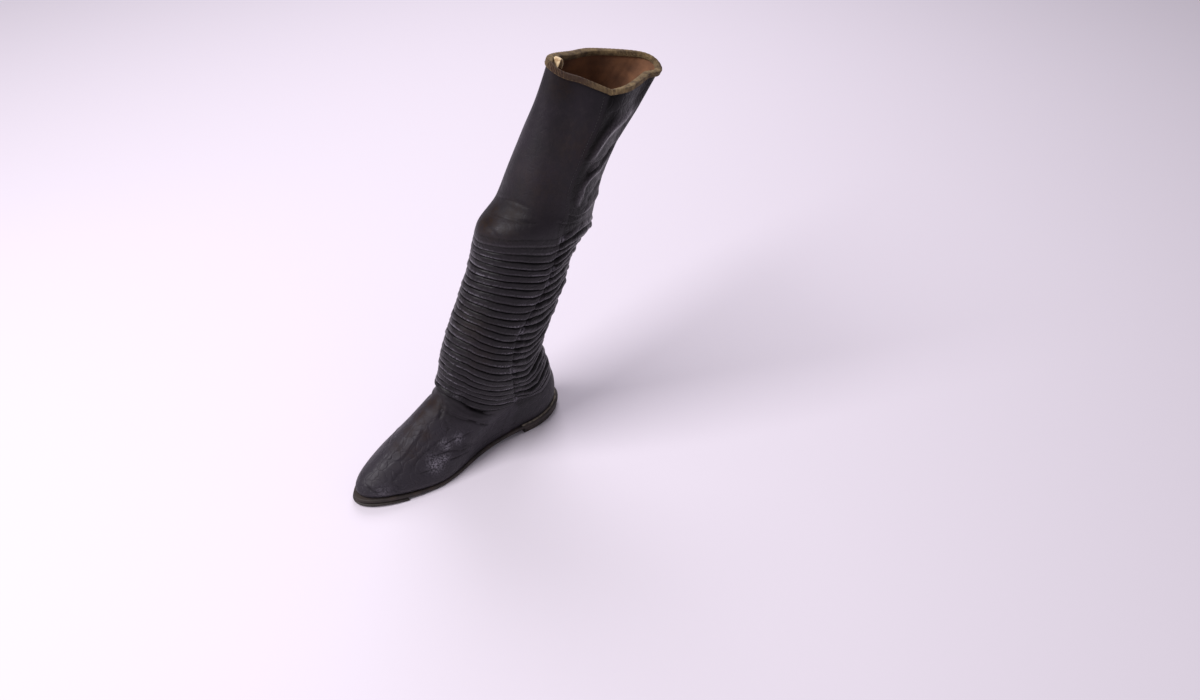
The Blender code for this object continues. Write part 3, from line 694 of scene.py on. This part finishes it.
def leather_panel(name, columns, lift, finish):
    """A closed panel of one leather thickness over some columns of the upper."""
    level = drape[:, columns] + lift
    outer = smooth[:, columns] + facing[:, columns] * (level + pleats[:, columns])[..., None]
    # the inner face needs only some of the rows
    kept = np.unique(np.concatenate([
        np.arange(0, field.start, 6), np.arange(field.start, field.stop, len(PLEAT_SHARES)),
        np.arange(field.stop, row_count, 6), [row_count - 1]]))
    inner = smooth[:, columns] + facing[:, columns] * (level - LEATHER)[..., None]
    points = np.concatenate([outer.reshape(-1, 3), inner[kept].reshape(-1, 3)])
    across = len(columns)
    base = row_count * across
    faces = grid_faces(row_count, across, ring=False)
    faces += grid_faces(len(kept), across, base, ring=False, inward=True)
    # the cut edges beside the side seams
    for row in range(len(kept) - 1):
        for k in (0, across - 1):
            rim = [r * across + k for r in range(kept[row], kept[row + 1] + 1)]
            faces.append((*rim, base + (row + 1) * across + k, base + row * across + k))
    # the lower and the upper edge
    top, inner_top = (row_count - 1) * across, base + (len(kept) - 1) * across
    for k in range(across - 1):
        faces.append((k, base + k, base + k + 1, k + 1))
        faces.append((top + k, top + k + 1, inner_top + k + 1, inner_top + k))
    marks = {}
    for label, values in panel_marks.items():
        grid = values[:, columns]
        marks[label] = np.concatenate([grid.ravel(), grid[kept].ravel()])
    return new_piece(name, points, faces, finish, marks, sharp=60)


# Calf leather, dyed black and waxed, gone dull: a faint sheen, brown where the dye has worn off,
# with painted shade in its hollows and on the back panel and painted highlights on its crests
calf_finish, calf_tree, calf_skin = new_finish(
    "black_waxed_calf", Metallic=0.0, IOR=1.45, Coat_Weight=0.04, Coat_Roughness=0.35)


def add(tree, kind, settings=None, **links):
    """Adds a node with its settings and links."""
    made = tree.nodes.new(kind)
    for name, value in (settings or {}).items():
        setattr(made, name, value)
    feed(made, **links)
    return made


def attribute(tree, name):
    return add(tree, "ShaderNodeAttribute", {"attribute_name": name}).outputs["Fac"]


def noise(tree, scale, detail, roughness=0.5, place=None):
    """Noise over the piece's own metres, or over another place."""
    if place is None:
        place = add(tree, "ShaderNodeTexCoord").outputs["Object"]
    made = add(tree, "ShaderNodeTexNoise", Vector=place, Scale=scale, Detail=detail,
               Roughness=roughness)
    return made.outputs["Fac"]


def mixed(share, first, second):
    """Blend of two colours, which are sockets or hex values."""
    first, second = (from_hex(end) if isinstance(end, str) else end for end in (first, second))
    mix = add(share.id_data, "ShaderNodeMix", {"data_type": "RGBA"},
              Factor=share, _6=first, _7=second)
    return mix.outputs[2]


def ranged(value, low, high, to_low=0.0, to_high=1.0):
    """Maps a value from one range to another and holds it there."""
    return add(
        value.id_data, "ShaderNodeMapRange", {"interpolation_type": "SMOOTHSTEP"},
        Value=value, From_Min=low, From_Max=high, To_Min=to_low, To_Max=to_high).outputs[0]


def maths(operation, first, second):
    return add(first.id_data, "ShaderNodeMath", {"operation": operation},
               _0=first, _1=second).outputs[0]


def times(first, second):
    return maths("MULTIPLY", first, second)


def bump(height, strength, distance, under=None):
    """Relief of a height, laid over the relief under it."""
    made = add(height.id_data, "ShaderNodeBump", Strength=strength, Distance=distance,
               Height=height)
    if under is not None:
        feed(made, Normal=under)
    return made.outputs[0]


# Clouds of about 40 mm, mottling of about 6 mm and specks of about 1.6 mm
cloud = noise(calf_tree, 26.0, 4.0, 0.6)
mottle = noise(calf_tree, 170.0, 5.0, 0.65)
speck = noise(calf_tree, 620.0, 3.0, 0.7)
stained, scuffed_and_glinting, hollow_shaded, shining, backed, vamped, shaded, pleated = (
    attribute(calf_tree, mark)
    for mark in ("stain", "scuff_and_glint", "hollow_shade", "shine", "back", "vamp", "shade", "pleated"))
tone = mixed(ranged(cloud, 0.35, 0.65), "#1e1a1f", "#251f26")
tone = mixed(times(vamped, 0.8), tone, "#2e2a31")
tone = mixed(ranged(mottle, 0.5, 0.72, 0.0, 0.4), tone, "#302a2e")
# painted shade: the back panel, and a little less the pleated field, are darkened, except where
# crests and ridges carry painted highlights
unlit = times(backed, ranged(shining, 0.0, 1.0, 0.88, 0.04))
tone = mixed(unlit, tone, "#0a0809")
# painted highlight: a pale, grainy sheen on the back panel's ridges and crests, weaker in the
# pleated field
ridge_highlight = times(times(shining, backed), ranged(pleated, 0.0, 1.0, 1.0, 0.25))
ridge_highlight = times(ridge_highlight, ranged(speck, 0.35, 0.62, 0.1, 0.55))
tone = mixed(ridge_highlight, tone, "#575057")
brown = times(stained, ranged(mottle, 0.36, 0.6, 0.25, 1.0))
tone = mixed(brown, tone, "#2f2219")
# pale scuffs, and painted highlights on the pleats' crests, beside the seams and on the shoulder
pale_scuff_and_glint = times(scuffed_and_glinting, ranged(speck, 0.42, 0.58))
tone = mixed(pale_scuff_and_glint, tone, "#7d7882")
# painted shade: the hollows, the leather behind the side seams and that over the first pleats go
# near black
dark = maths("MAXIMUM", times(hollow_shaded, 0.85), shaded)
tone = mixed(dark, tone, "#050404")
dull = ranged(mottle, 0.3, 0.7, 0.46, 0.60)
glossy = maths("ADD", times(shining, 0.16), times(backed, 0.08))
roughness = maths("ADD", maths("SUBTRACT", dull, glossy), times(stained, 0.3))
matt = maths("MAXIMUM", dark, times(stained, 0.8))
matt = maths("MAXIMUM", matt, times(unlit, 0.55))
feed(calf_skin, Base_Color=tone, Roughness=roughness,
     Specular_IOR_Level=ranged(matt, 0.0, 1.0, 0.36, 0.04))

# Grain cells are about 0.9 mm, drawn coarse so that they show; creases lie about 8 mm apart
place = add(calf_tree, "ShaderNodeTexCoord").outputs["Object"]
warp = add(calf_tree, "ShaderNodeTexNoise", Vector=place, Scale=70.0, Detail=2.0).outputs["Color"]
bent = add(calf_tree, "ShaderNodeVectorMath", {"operation": "MULTIPLY_ADD"},
           _0=warp, _1=(0.012, 0.012, 0.012), _2=place).outputs[0]
grain = add(calf_tree, "ShaderNodeTexVoronoi", {"feature": "F1"}, Vector=place,
            Scale=1100.0).outputs["Distance"]
cracks = add(calf_tree, "ShaderNodeTexVoronoi", {"feature": "DISTANCE_TO_EDGE"}, Vector=bent,
             Scale=120.0).outputs["Distance"]
crackle = ranged(maths("MAXIMUM", vamped, backed), 0.0, 1.0, 0.12, 0.4)
relief = bump(ranged(cracks, 0.0, 0.14), crackle, 0.0006)
relief = bump(mottle, 0.32, 0.0008, relief)
relief = bump(grain, 0.14, 0.0003, relief)
# The pleats are drawn in fine lines about 2 mm apart along each tuck
drawn = add(calf_tree, "ShaderNodeMapping", Vector=place, Scale=(1.0, 1.0, 9.0)).outputs[0]
lines = noise(calf_tree, 75.0, 4.0, 0.7, drawn)
feed(calf_skin, Normal=bump(lines, times(pleated, 0.55), 0.0010, relief))

order = np.argsort(turns, kind="stable")
front_columns = [k for k in order if abs(turns[k]) <= 1.0 + 1e-9]
medial_back = [k for k in range(column_count) if turns[k] >= 1.0 - 1e-9]
lateral_back = [k for k in range(column_count) if turns[k] <= -1.0 + 1e-9]
back_columns = medial_back + lateral_back
front_panel = leather_panel("front_panel", np.array(front_columns), LAP, calf_finish)
back_panel = leather_panel("back_panel", np.array(back_columns), 0.0, calf_finish)
for piece in (front_panel, back_panel):
    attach(piece, "root")
    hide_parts("upper")

# Lining: brown sheepskin glued behind the panels, seen down the open shaft.
# It ends under the collar's tape and lies a little wrinkled.
WALL = 0.0018                 # panel and lining together
LINING_THICKNESS = 0.0003
lining_rows = np.unique(np.concatenate([
    np.arange(0, FOOT_ROWS, 5), np.arange(FOOT_ROWS, row_count, 5), [row_count - 1]]))
lining_columns = np.arange(0, column_count, 2)
pick = np.ix_(lining_rows, lining_columns)
wrinkle = 0.00035 * np.sin(38 * row_angles[pick] + 3 * np.sin(2.4 * row_sections[pick]))
# The lining bridges the creases, so it lies at the lowest point of the leather around it
sunk = np.minimum.reduce([np.roll(drape, by, axis=0) for by in range(-6, 7)])
sunk = np.minimum(np.roll(sunk, 2, axis=1), np.minimum(sunk, np.roll(sunk, -2, axis=1)))
shells = []
for depth in (WALL - LINING_THICKNESS, WALL):
    level = sunk[pick] - depth + np.minimum(wrinkle, 0)
    shells.append((smooth[pick] + facing[pick] * level[..., None]).reshape(-1, 3))
rows, across = len(lining_rows), len(lining_columns)
shell = rows * across
lining_faces = grid_faces(rows, across) + grid_faces(rows, across, shell, inward=True)
top = shell - across
for k in range(across):
    after = (k + 1) % across
    lining_faces.append((k, shell + k, shell + after, after))
    lining_faces.append((top + k, top + after, shell + top + after, shell + top + k))

# Sheepskin lining, undyed and gone brown: matt, with darker patches of about 25 mm from wear
lining_finish, lining_tree, lining_skin = new_finish("brown_sheepskin_lining", Roughness=0.85)
patches = noise(lining_tree, 40.0, 5.0)
tone = mixed(ranged(patches, 0.35, 0.7), "#5a3a26", "#8c6040")
feed(lining_skin, Base_Color=tone, Normal=bump(patches, 0.4, 0.0008))
lining = new_piece("lining", np.concatenate(shells), lining_faces, lining_finish)
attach(lining, "root")

# Insole: one piece of vegetable-tanned leather inside the shoe, under the foot.
# The boot is lasted over it, with its grain side up.

# Vegetable-tanned leather gone dark from wear: matt brown with soft patches of about 17 mm
insole_finish, insole_tree, insole_skin = new_finish("brown_insole_leather", Roughness=0.75)
patches = noise(insole_tree, 60.0, 6.0)
tone = mixed(ranged(patches, 0.3, 0.7), "#4a2e1c", "#7a5233")
feed(insole_skin, Base_Color=tone, Normal=bump(patches, 0.3, 0.0005))
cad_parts["insole"].data.materials.clear()
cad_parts["insole"].data.materials.append(insole_finish)

# Outsole, heel lift and toe piece: firm bark-tanned leather, cut thin and pegged on in layers.
# Their edges are rubbed with dark wax and worn pale where they touch the floor.
SOLE_FRONT = SOLE_BACK + SOLE_LENGTH
SOLE_POINTS = 220
ARC_POINTS = 110
HEEL_LIFT_HEIGHT = 0.006
HEEL_LIFT_LENGTH = 0.062
HEEL_LIFT_INSET = 0.0012
TOE_PIECE_LENGTH = 0.041
TOE_PIECE_THICKNESS = 0.002
TOE_PIECE_LEDGE = 0.0012

# The sole's plan, as shares of half the ball's width
SoleWidths = namedtuple("SoleWidths", "heel waist ball toe")
SOLE_PLAN = SoleWidths(0.715, 0.715, 0.985, 0.590)


def sole_outline(angles):
    """Plan of the sole at the given angles, counter-clockwise from the toe."""
    share = (1 + np.cos(angles)) / 2
    x = SOLE_BACK + SOLE_LENGTH * share
    reach = half_width([width * BALL_WIDTH / 2 for width in SOLE_PLAN], share)
    return np.stack([x, swing(x) + reach * np.sin(angles)], axis=-1)


def grown(points, grow, closed=True):
    """Moves an outline, or an open arc of it, outward in plan."""
    if closed:
        along = np.roll(points, -1, axis=0) - np.roll(points, 1, axis=0)
    else:
        along = np.gradient(points, axis=0)
    normal = np.stack([along[:, 1], -along[:, 0]], axis=-1)
    moved = points + grow * normal / np.linalg.norm(normal, axis=1, keepdims=True)
    if not closed:
        # an arc's ends stay on the straight edge between them
        moved[0, 0] = moved[-1, 0] = points[0, 0]
    return moved


def leather_layer(name, rings, tipped, finish):
    """A sole layer between stacked outlines, filled across between points at the same x.

    A tipped outline has its first point on the middle line, at the toe.
    """
    count = len(rings[0])
    shift = count if tipped else count - 1
    faces = grid_faces(len(rings), count)
    top = (len(rings) - 1) * count
    for k in range(count // 2):
        across = tuple(dict.fromkeys((k, k + 1, shift - k - 1, (shift - k) % count)))
        if len(across) > 2:
            faces.append(across[::-1])
            faces.append(tuple(top + corner for corner in across))
    return new_piece(name, np.concatenate(rings), faces, finish, sharp=75)


def at_height(outline, height):
    return np.column_stack([outline, np.broadcast_to(height, len(outline))])


# Bark-tanned sole leather with a waxed edge: dark brown, matt, with fine layers about 0.3 mm high
sole_finish, sole_tree, sole_skin = new_finish("bark_tanned_sole_leather", Roughness=0.62)
place = add(sole_tree, "ShaderNodeTexCoord").outputs["Object"]
layered = add(sole_tree, "ShaderNodeMapping", Vector=place, Scale=(1.0, 1.0, 14.0)).outputs[0]
patches = noise(sole_tree, 90.0, 6.0)
fibres = noise(sole_tree, 260.0, 4.0, place=layered)
tone = mixed(ranged(patches, 0.35, 0.65), "#211a17", "#352a24")
tone = mixed(ranged(fibres, 0.55, 0.75, 0.0, 0.4), tone, "#4a3d33")
feed(sole_skin, Base_Color=tone, Normal=bump(fibres, 0.5, 0.0004))

around = 2 * pi * np.arange(SOLE_POINTS) / SOLE_POINTS
edge = sole_outline(around)
wobble = 0.00018 * np.sin(37 * around)
# a rounded edge: how far each ring lies inward, and its share of the thickness
sole_rings = []
for inward, share in ((0.0014, 0.0), (0.0006, 0.05), (0.0001, 0.22), (0.0, 0.5), (0.0001, 0.78),
                      (0.0006, 0.95), (0.0014, 1.0)):
    ring = grown(edge, -inward)
    base, lid = sole_underside(ring[:, 0]), sole_top(ring[:, 0])
    worn_edge = wobble * 4 * share * (1 - share)
    sole_rings.append(at_height(ring, base + (lid - base) * share + worn_edge))
outsole = leather_layer("outsole_leather", sole_rings, True, sole_finish)


def arc_to(place_x):
    """Angle on the medial side where the sole's outline reaches a place x."""
    return float(np.arccos(2 * along_foot(place_x) - 1))


heel_start = arc_to(SOLE_BACK + HEEL_LIFT_LENGTH)
heel_angles = np.linspace(heel_start, 2 * pi - heel_start, ARC_POINTS + 1)
heel_arc = sole_outline(heel_angles)
# the edge is rounded below and has a fine groove halfway up
heel_rings = []
for inward, lift in ((0.0012, 0.0), (0.0004, 0.0003), (0.0001, 0.0010), (0.0, 0.0030),
                     (0.0002, 0.0031), (0.0002, 0.0033), (0.0, 0.0034), (0.0001, 0.0055),
                     (0.0004, HEEL_LIFT_HEIGHT)):
    heel_rings.append(at_height(grown(heel_arc, -HEEL_LIFT_INSET - inward, closed=False), lift))
heel_lift = leather_layer("heel_lift_leather", heel_rings, False, sole_finish)

toe_end = arc_to(SOLE_FRONT - TOE_PIECE_LENGTH)
toe_arc = sole_outline(np.linspace(-toe_end, toe_end, ARC_POINTS + 1))
# the edge is thinned downward and stands a little proud of the sole
toe_rings = []
for outward_by, drop in ((-0.0006, TOE_PIECE_THICKNESS), (0.0006, 0.0018), (0.0011, 0.0010),
                         (TOE_PIECE_LEDGE, 0.0004), (0.0009, 0.0)):
    ring = grown(toe_arc, outward_by, closed=False)
    toe_rings.append(at_height(ring, sole_underside(ring[:, 0]) - CLEARANCE - drop))
toe_piece = leather_layer("toe_piece_leather", toe_rings, False, sole_finish)
for piece, node in ((outsole, "outsole"), (heel_lift, "heel_lift"), (toe_piece, "toe_piece")):
    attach(piece, "root")
    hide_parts(node)

# Heel rand: a narrow strip of pale leather between upper and outsole round the heel.
# It is skived to a thin edge, pegged down and rubbed bare.
RAND_WIDTH = 0.0023
RAND_HEIGHT = 0.0018
RAND_STANDOFF = 0.00095
# the strip's profile: shares of its width and of its height, and how bare each corner is rubbed
RAND_CORNERS = ((0, 0), (0.85, 0), (1.0, 0.12), (1.0, 0.45), (0.8, 0.66), (0.4, 0.86), (0, 1))
RAND_BARENESS = (0.0, 0.0, 0.0, 0.15, 1.0, 0.9, 0.0)
rand_profiles = []
for angle in heel_angles:
    foot = last_point(0.0, angle)
    normal = outward(0.0, angle)
    normal = np.array([normal[0], normal[1], 0]) / np.hypot(normal[0], normal[1])
    seat = sole_top(foot[0]) + CLEARANCE
    width = RAND_WIDTH + 0.0002 * np.sin(23 * angle)
    rand_profiles.append([
        (*(foot + normal * (RAND_STANDOFF + out * width))[:2], seat + RAND_HEIGHT * up)
        for out, up in RAND_CORNERS])


def strip_along(name, profiles, closed, finish, marks=None):
    """A solid strip through profiles of equal point count; a closed one joins its ends."""
    profiles = np.asarray(profiles, float)
    steps, count = profiles.shape[:2]
    faces = grid_faces(steps, count, loop=closed)
    if not closed:
        faces.append(tuple(range(count)))
        faces.append(tuple((steps - 1) * count + k for k in reversed(range(count))))
    return new_piece(name, profiles.reshape(-1, 3), faces, finish, marks)


# Pale strip leather: its upper lip is rubbed bare, the rest is as dark as the sole's edge; the
# dirt comes in spots of about 4 mm
rand_finish, rand_tree, rand_skin = new_finish("pale_rand_leather", Roughness=0.8)
dirt = noise(rand_tree, 220.0, 5.0)
bare = times(attribute(rand_tree, "lip"), ranged(dirt, 0.34, 0.5, 0.35, 1.0))
feed(rand_skin, Base_Color=mixed(bare, "#1d1815", "#80766a"))
lip_marks = np.tile(RAND_BARENESS, ARC_POINTS + 1)
heel_rand = strip_along("heel_rand_strip", rand_profiles, False, rand_finish, {"lip": lip_marks})
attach(heel_rand, "root")
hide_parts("heel_rand")

# Collar binding: a ribbed cotton tape folded over the top edge and whipped down.
# The tape has faded to a greyed straw colour and bulges a little between its stitches.
BINDING_DROP = 0.0036
BINDING_THICKNESS = 0.0008
BINDING_PUFF = 0.00022        # how far it swells between two stitches
BINDING_CLEARANCE = 0.0010
RIM_SPAN = 0.3                # sections below the rim where its slope is taken
RIM_POINTS = 360
STITCH_PITCH = 0.0042


def below_rim(angle):
    """Section number of the collar binding's lower edge at an angle."""
    slope = last_point(LAST_SECTION, angle) - last_point(LAST_SECTION - RIM_SPAN, angle)
    return LAST_SECTION - RIM_SPAN * BINDING_DROP / np.linalg.norm(slope)


rim_turns = np.arange(RIM_POINTS) / RIM_POINTS * 4
rim_turns = np.where(rim_turns > 2, rim_turns - 4, rim_turns)
rim_angles = turn_to_angle(np.full(RIM_POINTS, float(LAST_SECTION)), rim_turns)
rim_spots = last_point(LAST_SECTION, rim_angles)
rim_travel = np.concatenate([[0], np.cumsum(np.linalg.norm(np.diff(rim_spots, axis=0), axis=1))])
outer, inner = LAP + BINDING_CLEARANCE, -WALL - BINDING_CLEARANCE
middle, reach = (outer + inner) / 2, (outer - inner) / 2
thick = BINDING_THICKNESS
step = radians(1)
binding_profiles = []
for spot, angle, turn, travel in zip(rim_spots, rim_angles, rim_turns, rim_travel):
    edge_section = below_rim(angle)
    edge_angle = float(turn_to_angle(edge_section, turn))
    hem = last_point(edge_section, edge_angle)
    rim_out, hem_out = outward(LAST_SECTION, angle), outward(edge_section, edge_angle)
    along = last_point(LAST_SECTION, angle + step) - last_point(LAST_SECTION, angle - step)
    up = np.cross(rim_out, along) / np.linalg.norm(along)
    puff = BINDING_PUFF * np.abs(np.sin(pi * travel / STITCH_PITCH))
    bow = [(middle + (reach + thick + puff) * np.cos(t),
            BINDING_CLEARANCE + (thick + puff) * np.sin(t)) for t in np.linspace(0, pi, 9)]
    # up the tape's outer side, over the rim in a bow, down its inner side and back inside the fold
    profile = [hem + hem_out * (outer + 0.15 * thick),
               hem + hem_out * (outer + thick * 0.8 + puff * 0.3),
               hem + (spot - hem) * 0.2 + hem_out * (outer + thick + puff * 0.6),
               hem + (spot - hem) * 0.6 + hem_out * (outer + thick + puff)]
    profile += [spot + rim_out * out + up * rise for out, rise in bow]
    profile += [hem + (spot - hem) * 0.6 + hem_out * (inner - thick - puff),
                hem + (spot - hem) * 0.2 + hem_out * (inner - thick - puff * 0.6),
                hem + hem_out * (inner - thick * 0.8), hem + hem_out * (inner - 0.15 * thick),
                spot + rim_out * inner + up * BINDING_CLEARANCE * 0.5,
                spot + rim_out * outer + up * BINDING_CLEARANCE * 0.5]
    binding_profiles.append(profile)

# Cotton tape, ribbed across: matt, straw brown, with painted shade between its ribs; round the
# front it has taken up reddish brown dirt from hands
RIB_PITCH = 0.0014
tape_finish, tape_tree, tape_skin = new_finish(
    "faded_cotton_tape", Roughness=0.9, Sheen_Weight=0.05, Sheen_Roughness=0.6)
dirt = noise(tape_tree, 150.0, 5.0)
slub = noise(tape_tree, 900.0, 3.0)
soiled = times(attribute(tape_tree, "soiled"), ranged(dirt, 0.3, 0.6, 0.6, 1.0))
ribs = maths("SINE", times(attribute(tape_tree, "slant"), 2 * pi / RIB_PITCH), 0.0)
tone = mixed(ranged(dirt, 0.35, 0.65), "#6a5435", "#a0875c")
tone = mixed(soiled, tone, "#4d3222")
# painted shade between the ribs
tone = mixed(ranged(ribs, -1.0, 0.6, 0.45, 0.0), tone, "#2f2317")
weave = maths("ADD", ribs, times(slub, 1.2))
feed(tape_skin, Base_Color=tone, Normal=bump(weave, 0.8, 0.0005))
profile_size = len(binding_profiles[0])
# the ribs slant, so they are counted along the rim and round the tape's 16 mm wide profile
slant_marks = np.repeat(rim_travel, profile_size) + np.tile(
    np.linspace(0, 0.016, profile_size), RIM_POINTS) * 0.6
front_dirt = ease((rim_turns + 0.1) / 0.15) * ease((0.98 - rim_turns) / 0.35)
binding = strip_along("collar_tape", binding_profiles, True, tape_finish, {
    "slant": slant_marks, "soiled": np.repeat(front_dirt, profile_size)})
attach(binding, "root")
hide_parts("collar_binding")

# Pull loop: a short cotton tape, sewn inside the collar's front and curled back over itself.
# It is paler than the binding, because the shaft has kept the light off it.
LOOP_WIDTH = 0.0085
LOOP_THICKNESS = 0.001
LOOP_INSET = 0.0028
LOOP_RADIUS = 0.0035
LOOP_RISE = 0.009
# the tape's profile: shares of its width from the middle, and of its thickness
LOOP_CORNERS = ((-0.5, 0.1), (-0.46, 0), (0, -0.12), (0.46, 0), (0.5, 0.1), (0.5, 0.9),
                (0.46, 1), (0, 0.88), (-0.46, 1), (-0.5, 0.9))
rim = last_point(LAST_SECTION, 0.0)
down = last_point(LAST_SECTION - RIM_SPAN, 0.0) - rim
down /= np.linalg.norm(down)
back = -outward(LAST_SECTION, 0.0)
sideways = np.array([0, 1, 0])
loop_start = rim + down * BINDING_DROP + back * (
    WALL + BINDING_CLEARANCE + BINDING_THICKNESS + LOOP_INSET)
loop_profiles = []
for turn in np.linspace(0, pi, 41):
    spot = loop_start + back * LOOP_RADIUS * (1 - np.cos(turn)) - down * LOOP_RISE * np.sin(turn)
    through = back * np.cos(turn) + down * np.sin(turn)
    width = LOOP_WIDTH * (1 + 0.12 * np.sin(3 * turn))
    loop_profiles.append([
        spot + sideways * width * across + through * LOOP_THICKNESS * layer
        for across, layer in LOOP_CORNERS])

# Undyed cotton tape: cream, matt, with a fine weave drawn at 0.8 mm so that it shows
loop_finish, loop_tree, loop_skin = new_finish(
    "cream_cotton_tape", Roughness=0.95, Sheen_Weight=0.3)
tone = mixed(ranged(noise(loop_tree, 300.0, 4.0), 0.35, 0.65), "#a98a62", "#dcc49b")
place = add(loop_tree, "ShaderNodeTexCoord").outputs["Object"]
weave = add(loop_tree, "ShaderNodeTexVoronoi", Vector=place, Scale=1250.0).outputs["Distance"]
feed(loop_skin, Base_Color=tone, Normal=bump(weave, 0.6, 0.0004))
pull_loop = strip_along("pull_loop_tape", loop_profiles, False, loop_finish)
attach(pull_loop, "root")
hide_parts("pull_loop")

# Stitches: waxed linen thread in straight rows of short, sunken stitches.
# One row runs down each side seam beside the lap, and two hold the collar's tape.
THREAD_RADIUS = 0.00028
SEAM_PITCH = 0.0028
SEAM_STITCH = 0.0021
SEAM_MARGIN = 0.05            # from the lap's edge, as a share of the way to the front
TAPE_STITCH = 0.0024


def thread_rows_tree():
    """Node group that lays evenly spaced stitches along curves."""
    tree = bpy.data.node_groups.new("thread_rows", "GeometryNodeTree")
    face = tree.interface
    face.new_socket("Path", in_out="INPUT", socket_type="NodeSocketGeometry")
    for name in ("Stitch Pitch", "Stitch Length", "Thread Radius"):
        face.new_socket(name, in_out="INPUT", socket_type="NodeSocketFloat")
    face.new_socket("Thread", in_out="INPUT", socket_type="NodeSocketMaterial")
    face.new_socket("Stitches", in_out="OUTPUT", socket_type="NodeSocketGeometry")
    given = add(tree, "NodeGroupInput")
    spaced = add(tree, "GeometryNodeCurveToPoints", {"mode": "LENGTH"},
                 Curve=given.outputs["Path"], Length=given.outputs["Stitch Pitch"])
    body = add(tree, "GeometryNodeMeshUVSphere", Segments=8, Rings=5, Radius=1.0)
    half = add(tree, "ShaderNodeMath", {"operation": "MULTIPLY"},
               _0=given.outputs["Stitch Length"], _1=0.5)
    size = add(tree, "ShaderNodeCombineXYZ", X=given.outputs["Thread Radius"],
               Y=given.outputs["Thread Radius"], Z=half.outputs[0])
    laid = add(tree, "GeometryNodeInstanceOnPoints", Points=spaced.outputs["Points"],
               Instance=body.outputs["Mesh"], Rotation=spaced.outputs["Rotation"],
               Scale=size.outputs[0])
    real = add(tree, "GeometryNodeRealizeInstances", Geometry=laid.outputs[0])
    smooth_thread = add(tree, "GeometryNodeSetShadeSmooth", Geometry=real.outputs[0])
    coloured = add(tree, "GeometryNodeSetMaterial", Geometry=smooth_thread.outputs[0],
                   Material=given.outputs["Thread"])
    add(tree, "NodeGroupOutput", Stitches=coloured.outputs[0])
    return tree


thread_tree = thread_rows_tree()


def sew(name, paths, pitch, length, finish):
    """Stitches along open paths of points, baked to one plain mesh."""
    line = bpy.data.curves.new(name + "_path", "CURVE")
    line.dimensions = "3D"
    for path in paths:
        spline = line.splines.new("POLY")
        spline.points.add(len(path) - 1)
        spline.points.foreach_set("co", np.column_stack([path, np.ones(len(path))]).ravel())
    guide = bpy.data.objects.new(name + "_path", line)
    bpy.context.scene.collection.objects.link(guide)
    sewing = guide.modifiers.new("sewing", "NODES")
    sewing.node_group = thread_tree
    sizes = {"Stitch Pitch": pitch, "Stitch Length": length, "Thread Radius": THREAD_RADIUS,
             "Thread": finish}
    for item in thread_tree.interface.items_tree:
        if item.item_type == "SOCKET" and item.name in sizes:
            sewing[item.identifier] = sizes[item.name]
    shown = guide.evaluated_get(bpy.context.evaluated_depsgraph_get())
    mesh = bpy.data.meshes.new_from_object(shown)
    mesh.name = name
    bpy.data.objects.remove(guide)
    made = bpy.data.objects.new(name, mesh)
    bpy.context.scene.collection.objects.link(made)
    return made


# Waxed linen thread: dark, slightly glossy; the collar's thread has faded with its tape
seam_thread, _, _ = new_finish(
    "black_waxed_thread", Base_Color=from_hex("#1c191a"), Roughness=0.45)
tape_thread, _, _ = new_finish(
    "straw_linen_thread", Base_Color=from_hex("#6f5b3d"), Roughness=0.75)
seam_paths = []
for seam_turn in (1 - SEAM_MARGIN, SEAM_MARGIN - 1):
    # in the foot and above the pleats, which hide the thread
    for sections in (np.linspace(0.4, 4.0, 60), np.linspace(11.7, 16.75, 160)):
        angles = turn_to_angle(sections, seam_turn)
        column = int(np.argmin(np.abs(turns - seam_turn)))
        rise = np.interp(sections, row_sections[:, column], (drape + pleats)[:, column])
        height = (rise + LAP + 0.0001)[:, None]
        seam_paths.append(last_point(sections, angles) + outward(sections, angles) * height)
side_stitches = sew("side_seam_stitches", seam_paths, SEAM_PITCH, SEAM_STITCH, seam_thread)
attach(side_stitches, "root")
# closed rows on the tape, one outside and one inside the collar
tape_paths = [
    np.array([profile[corner] for profile in binding_profiles + binding_profiles[:1]])
    for corner in (2, -6)]
tape_stitches = sew(
    "collar_tape_stitches", tape_paths, STITCH_PITCH, TAPE_STITCH, tape_thread)
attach(tape_stitches, "root")
